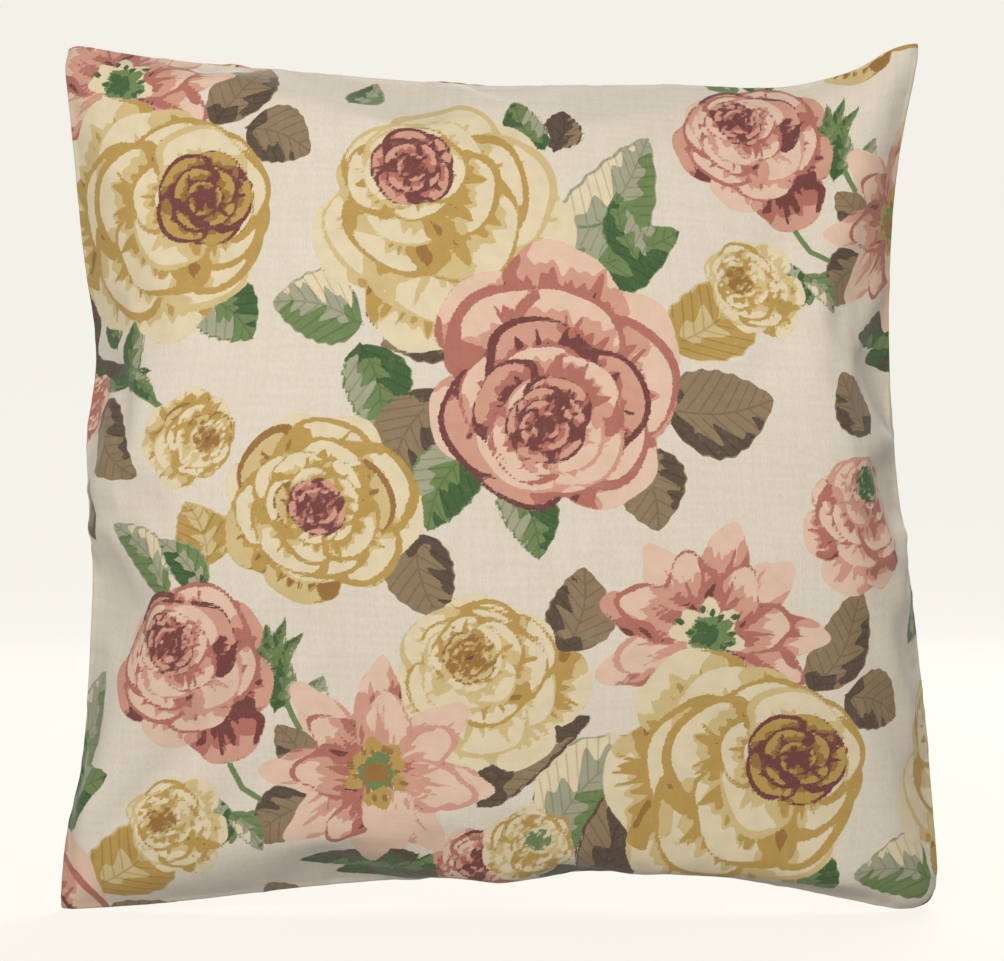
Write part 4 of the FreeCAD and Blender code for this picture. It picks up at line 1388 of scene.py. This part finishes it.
def herringbone_tape():
    """Woven tape: slanting ribs that turn back every few threads, painted lighter on their crests and
    darker between them, with a random fuzz.
    """
    finish = Finish("zip_tape_weave", roughness=0.8, specular_ior_level=0.3, sheen_weight=0.2)
    place = finish.cloth_place()
    along, across = place.part("X"), place.part("Y")
    folded = abs(across % HERRINGBONE - HERRINGBONE / 2)
    rib = ((along + folded) * (2 * math.pi / RIB_PITCH)).sine() * 0.5 + 0.5
    fuzz = finish.noise(place, 2.2, 3.0)
    # painted light and shade: the ribs' crests are lighter and the grooves between them darker; the
    # fuzz is random tone
    light = rib * 0.7 + fuzz * 0.3
    colour = finish.mix(ink_colour(196, 181, 155), ink_colour(224, 212, 190), light)
    return finish.wear(base_color=colour, normal=finish.bump(rib + fuzz * 0.3, 0.00015),
                       roughness=fuzz.ramp(0.3, 0.7, 0.74, 0.86))


def nylon_coil():
    """Clear-edged filament, a little cloudy inside."""
    finish = Finish("zip_coil_nylon", roughness=0.36, specular_ior_level=0.5)
    cloudy = finish.noise(finish.object_place(), 900.0, 2.0)
    colour = finish.mix(ink_colour(203, 189, 163), ink_colour(224, 212, 189), cloudy.ramp(0.3, 0.7))
    return finish.wear(base_color=colour, roughness=cloudy.ramp(0.3, 0.7, 0.3, 0.42))


def satin_nickel():
    """Plated zip metal: brushed a little, darker and duller where it has been handled."""
    finish = Finish("satin_nickel", metallic=1.0, roughness=0.3)
    place = finish.object_place()
    brushed = finish.noise(place * (1.0, 1.0, 9.0), 1400.0, 2.0)
    worn = finish.noise(place, 260.0, 3.0, 0.6)
    colour = finish.mix(ink_colour(166, 160, 150), ink_colour(206, 202, 194), worn.ramp(0.35, 0.65))
    rough = brushed.ramp(0.3, 0.7, 0.24, 0.36) + worn.ramp(0.5, 0.8, 0.0, 0.12)
    return finish.wear(base_color=colour, roughness=rough, normal=finish.bump(brushed, 0.00002))


def sewing_thread(name, low, high, rough):
    """Two-ply thread: fine slanting bars along its length, with painted shade in the grooves between
    the plies.
    """
    finish = Finish(name, roughness=rough, specular_ior_level=0.35, sheen_weight=0.15)
    place = finish.cloth_place()
    ply = ((place.part("X") + place.part("Y")) * (2 * math.pi / PLY_PITCH)).sine() * 0.5 + 0.5
    # painted shade: darker in the grooves between the plies, lighter on their crests
    colour = finish.mix(ink_colour(*low), ink_colour(*high), ply)
    return finish.wear(base_color=colour, normal=finish.bump(ply, 0.00006),
                       roughness=ply * -0.1 + rough)


TAPE, COIL, NICKEL = herringbone_tape(), nylon_coil(), satin_nickel()
THREAD = sewing_thread("sewing_thread", (196, 180, 152), (228, 216, 194), 0.62)
RIBBON = sewing_thread("satin_ribbon", (236, 234, 228), (250, 249, 245), 0.38)
print("zip finishes:", [finish.name for finish in (TAPE, COIL, NICKEL, THREAD, RIBBON)])

# %% Tapes and coils
coil_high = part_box("zip_coil_upper")[1]
tape_low, tape_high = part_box("zip_tape_upper")
TAPE_OUT, TAPE_WALL = -1.4, 0.5         # mm from the cloth's face to the tape's, and its thickness
TAPE_EDGE = (0.2, 0.15)                 # mm that the woven edge is rounded, along and across
COIL_INSET = 0.7                        # mm in from the cloth's face to the line the coil follows
COIL_MIDDLE, COIL_DEPTH = -0.75 * MM, 0.65 * MM
COIL_PITCH = 1.3 * MM                   # one tooth to the next on the same side
COIL_CROSSING = 0.15 * MM               # how far the teeth reach past the centre line
TURN_POINTS = 12
WIRE = 0.27 * MM
COIL_END = ARC_RADIUS * math.asin(coil_high[0] / (ARC_RADIUS - COIL_INSET * MM))
TAPE_REACH = ARC_RADIUS * math.asin(tape_high[0] / (ARC_RADIUS + TAPE_OUT * MM))


def ride_cushion(thing, node):
    """Fix a piece to the cushion in place of a node, and hand it back."""
    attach(thing, "cushion")
    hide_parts(node)
    return thing


for half, way in (("upper", 1), ("lower", -1)):
    near, far = (tape_low[2] - ZIP_Z) / MM, (tape_high[2] - ZIP_Z) / MM
    face, back = TAPE_OUT, TAPE_OUT - TAPE_WALL
    wide, thick = TAPE_EDGE
    ring = [(face, near + wide), (face, far - wide), (face - thick, far), (back + thick, far),
            (back, far - wide), (back, near + wide), (back + thick, near), (face - thick, near)]
    ring = [(out, way * height) for out, height in ring][::way]
    tape = strip(f"tape_{half}", ring, np.linspace(-TAPE_REACH, TAPE_REACH, 241), TAPE)
    ride_cushion(tape, f"zip_tape_{half}")
    2 * TAPE_REACH
    (far - near) * MM

    turns = int(2 * COIL_END / COIL_PITCH)
    t = np.arange(turns * TURN_POINTS + 1) / TURN_POINTS
    phase = 2 * math.pi * t + (0 if way > 0 else math.pi)
    inner, outer = -COIL_CROSSING, (coil_high[2] - ZIP_Z) - WIRE
    height = way * ((inner + outer) / 2 - (outer - inner) / 2 * np.cos(phase))
    out = COIL_MIDDLE + (COIL_DEPTH - WIRE) * np.sin(phase)
    coil = tube(f"coil_{half}", on_arc(-COIL_END + t * COIL_PITCH, out, height), WIRE, 6, COIL)
    ride_cushion(coil, f"zip_coil_{half}")
    print(f"coil {half}: {turns} teeth, {len(coil.data.vertices)} points")

# %% [markdown]
# ## Stitches
#
# A row of lockstitches holds each folded edge to its tape, and a bar tack, a short dense zigzag,
# closes each end of the opening. Each stitch is its own little thread that dips into the cloth
# at both ends, because a stitch is seen as a row of small bumps and shadows.

# %% Topstitches
STITCH_PITCH, STITCH_LENGTH = 5 * MM, 3.6 * MM
STITCH_LIFT, STITCH_DIP = 0.16 * MM, 0.55 * MM  # rise of its middle, and dive of its ends
THREAD_RADIUS = 0.22 * MM
bend = np.linspace(-1, 1, 9)            # from one end of a stitch to the other
for half, way in (("upper", 1), ("lower", -1)):
    count = int(2 * SLOT_END / STITCH_PITCH)
    stitches = []
    for n in range(count):
        middle = (n - (count - 1) / 2) * STITCH_PITCH
        along = middle + bend / 2 * STITCH_LENGTH
        lift = STITCH_LIFT - STITCH_DIP * np.abs(bend) ** 4
        x = ARC_RADIUS * np.sin(along / ARC_RADIUS)
        path = on_arc(along, hem_wave(x, STITCH_MARGIN, way) + lift,
                      way * (SLOT_HALF + STITCH_MARGIN))
        stitches.append(tube(f"stitch_{half}_{n}", path, THREAD_RADIUS, 6, THREAD))
    ride_cushion(joined(f"topstitch_{half}", stitches), f"zip_topstitch_{half}")
print("stitches in each row:", count)

# %% Bar tacks
TACK_TURNS, TACK_WIDE = 15, 2.4 * MM
TACK_LIFT, TACK_DIP = 0.20 * MM, 0.30 * MM
for end, way in (("closed_end", 1), ("open_end", -1)):
    t = np.linspace(0, 1, TACK_TURNS * 8 + 1)
    zigzag = np.abs((t * TACK_TURNS) % 1 * 2 - 1) * 2 - 1
    along = way * (SLOT_END + TACK_WIDE / 2) + zigzag * (TACK_WIDE / 2 - THREAD_RADIUS)
    height = (t - 0.5) * 2 * (SLOT_HALF + 0.5 * MM)
    lift = TACK_LIFT - TACK_DIP * zigzag ** 6
    tack = tube(f"bar_tack_{end}", on_arc(along, lift, height), THREAD_RADIUS, 6, THREAD)
    ride_cushion(tack, f"zip_bar_tack_{end}")
print("turns of thread in a bar tack:", TACK_TURNS)

# %% Metal parts
for node in ("zip_slider", "zip_pull_tab", "zip_bottom_stop", "zip_top_stop_upper",
             "zip_top_stop_lower"):
    part = bpy.data.objects[node]
    part.data.materials.clear()
    part.data.materials.append(NICKEL)
print("metal:", NICKEL.name)

# %% The care label
LABEL_WIDE, LABEL_LONG = 0.034, 0.065   # ribbon before it is folded in half
LABEL_TOP, LABEL_DROP = 0.0135, 0.046   # below the zip's centre line to its sewn end and its fold
LABEL_OUT, LABEL_GAP, LABEL_LEAN = -2.05 * MM, 0.3 * MM, 2.6 * MM
label_down = np.linspace(0, 1, 24)
label_height = -LABEL_TOP - label_down * (LABEL_DROP - LABEL_TOP - 0.5 * MM)
label_out = LABEL_OUT - LABEL_LEAN * label_down
label_height = np.concatenate([label_height, label_height[::-1]])
label_out = np.concatenate([label_out, label_out[::-1] - LABEL_GAP])
label_along = np.linspace(-LABEL_WIDE / 2, LABEL_WIDE / 2, 20)
label_points = on_arc(label_along[None], label_out[:, None], label_height[:, None])
label_length = np.linspace(0, LABEL_LONG, len(label_height))
label_flat = np.stack(np.broadcast_arrays(label_along[None], label_length[:, None]), -1) / SIDE
label = add_grid("satin_label", label_points, label_flat, RIBBON)
ride_cushion(label, "care_label")
print("label:", LABEL_WIDE, "by", LABEL_LONG, "m of ribbon")

# %% [markdown]
# ## Studio
#
# The pillow stands in a round tent of pale paper: a floor that curves up into a wall on every
# side, so that no edge shows from any angle. The paper glows, but only to the eye: the light on
# the pillow comes from an even sky and two large lamps, one in front and a little above, one
# behind, so that its folds keep their soft shadows.

# %% Paper tent
PAPER = ink_colour(246, 244, 235)
paper = Finish("pale_paper", base_color=PAPER, roughness=0.95, emission_strength=0.93)
mottle = paper.noise(paper.object_place(), 0.7, 2.0)
paper_colour = paper.mix(PAPER, ink_colour(245, 243, 234), mottle.ramp(0.3, 0.7))
paper.wear(emission_color=paper_colour,
           base_color=paper.mix((0.08, 0.078, 0.072, 1), (0.09, 0.088, 0.08, 1), mottle))
TENT_RADIUS, SWEEP, TENT_HEIGHT = 3.6, 0.9, 2.6
profile = [(r, 0.0) for r in np.linspace(0.0, TENT_RADIUS - SWEEP, 24)]
profile += [(TENT_RADIUS - SWEEP + SWEEP * math.sin(a), SWEEP * (1 - math.cos(a)))
            for a in np.linspace(0, math.pi / 2, 16)[1:]]
profile += [(TENT_RADIUS, SWEEP + h) for h in np.linspace(0, TENT_HEIGHT - SWEEP, 6)[1:]]
around = np.linspace(0, 2 * math.pi, 97)
tent_points = np.array([[(r * math.cos(a), r * math.sin(a), h) for a in around] for r, h in profile])
tent = add_grid("paper_tent", tent_points, np.zeros(tent_points.shape[:2] + (2,)), paper.material)
tent.visible_diffuse = False    # the paper shows its glow but doesn't light the pillow
paper.material.cycles.emission_sampling = "NONE"
print("tent:", 2 * TENT_RADIUS, "m across")

# %% Lamps and camera
scene = bpy.context.scene
scene.view_settings.view_transform = "Standard"
sky = bpy.data.worlds.new("sky")
scene.world = sky
sky.use_nodes = True
sky.node_tree.nodes["Background"].inputs["Color"].default_value = (0.95, 0.95, 0.93, 1)
sky.node_tree.nodes["Background"].inputs["Strength"].default_value = 0.30


def lamp(name, place, size, power):
    """Square soft lamp that faces the middle of the pillow."""
    light = bpy.data.objects.new(name, bpy.data.lights.new(name, "AREA"))
    light.data.size, light.data.energy = size, power
    x, y, z = place
    light.location = place
    flat_way = math.hypot(x, y)
    light.rotation_euler = (math.atan2(flat_way, z - 0.24), 0, math.atan2(y, x) + math.pi / 2)
    scene.collection.objects.link(light)


lamp("key", (-0.35, -2.35, 0.95), 1.1, 45)
lamp("back", (0.8, 2.0, 1.8), 1.3, 44)
camera = bpy.data.objects.new("camera", bpy.data.cameras.new("camera"))
scene.collection.objects.link(camera)
scene.camera = camera
camera.data.lens = 100
camera.location = (0.001, -1.58, 0.244)
camera.rotation_euler = (math.pi / 2, 0, 0)
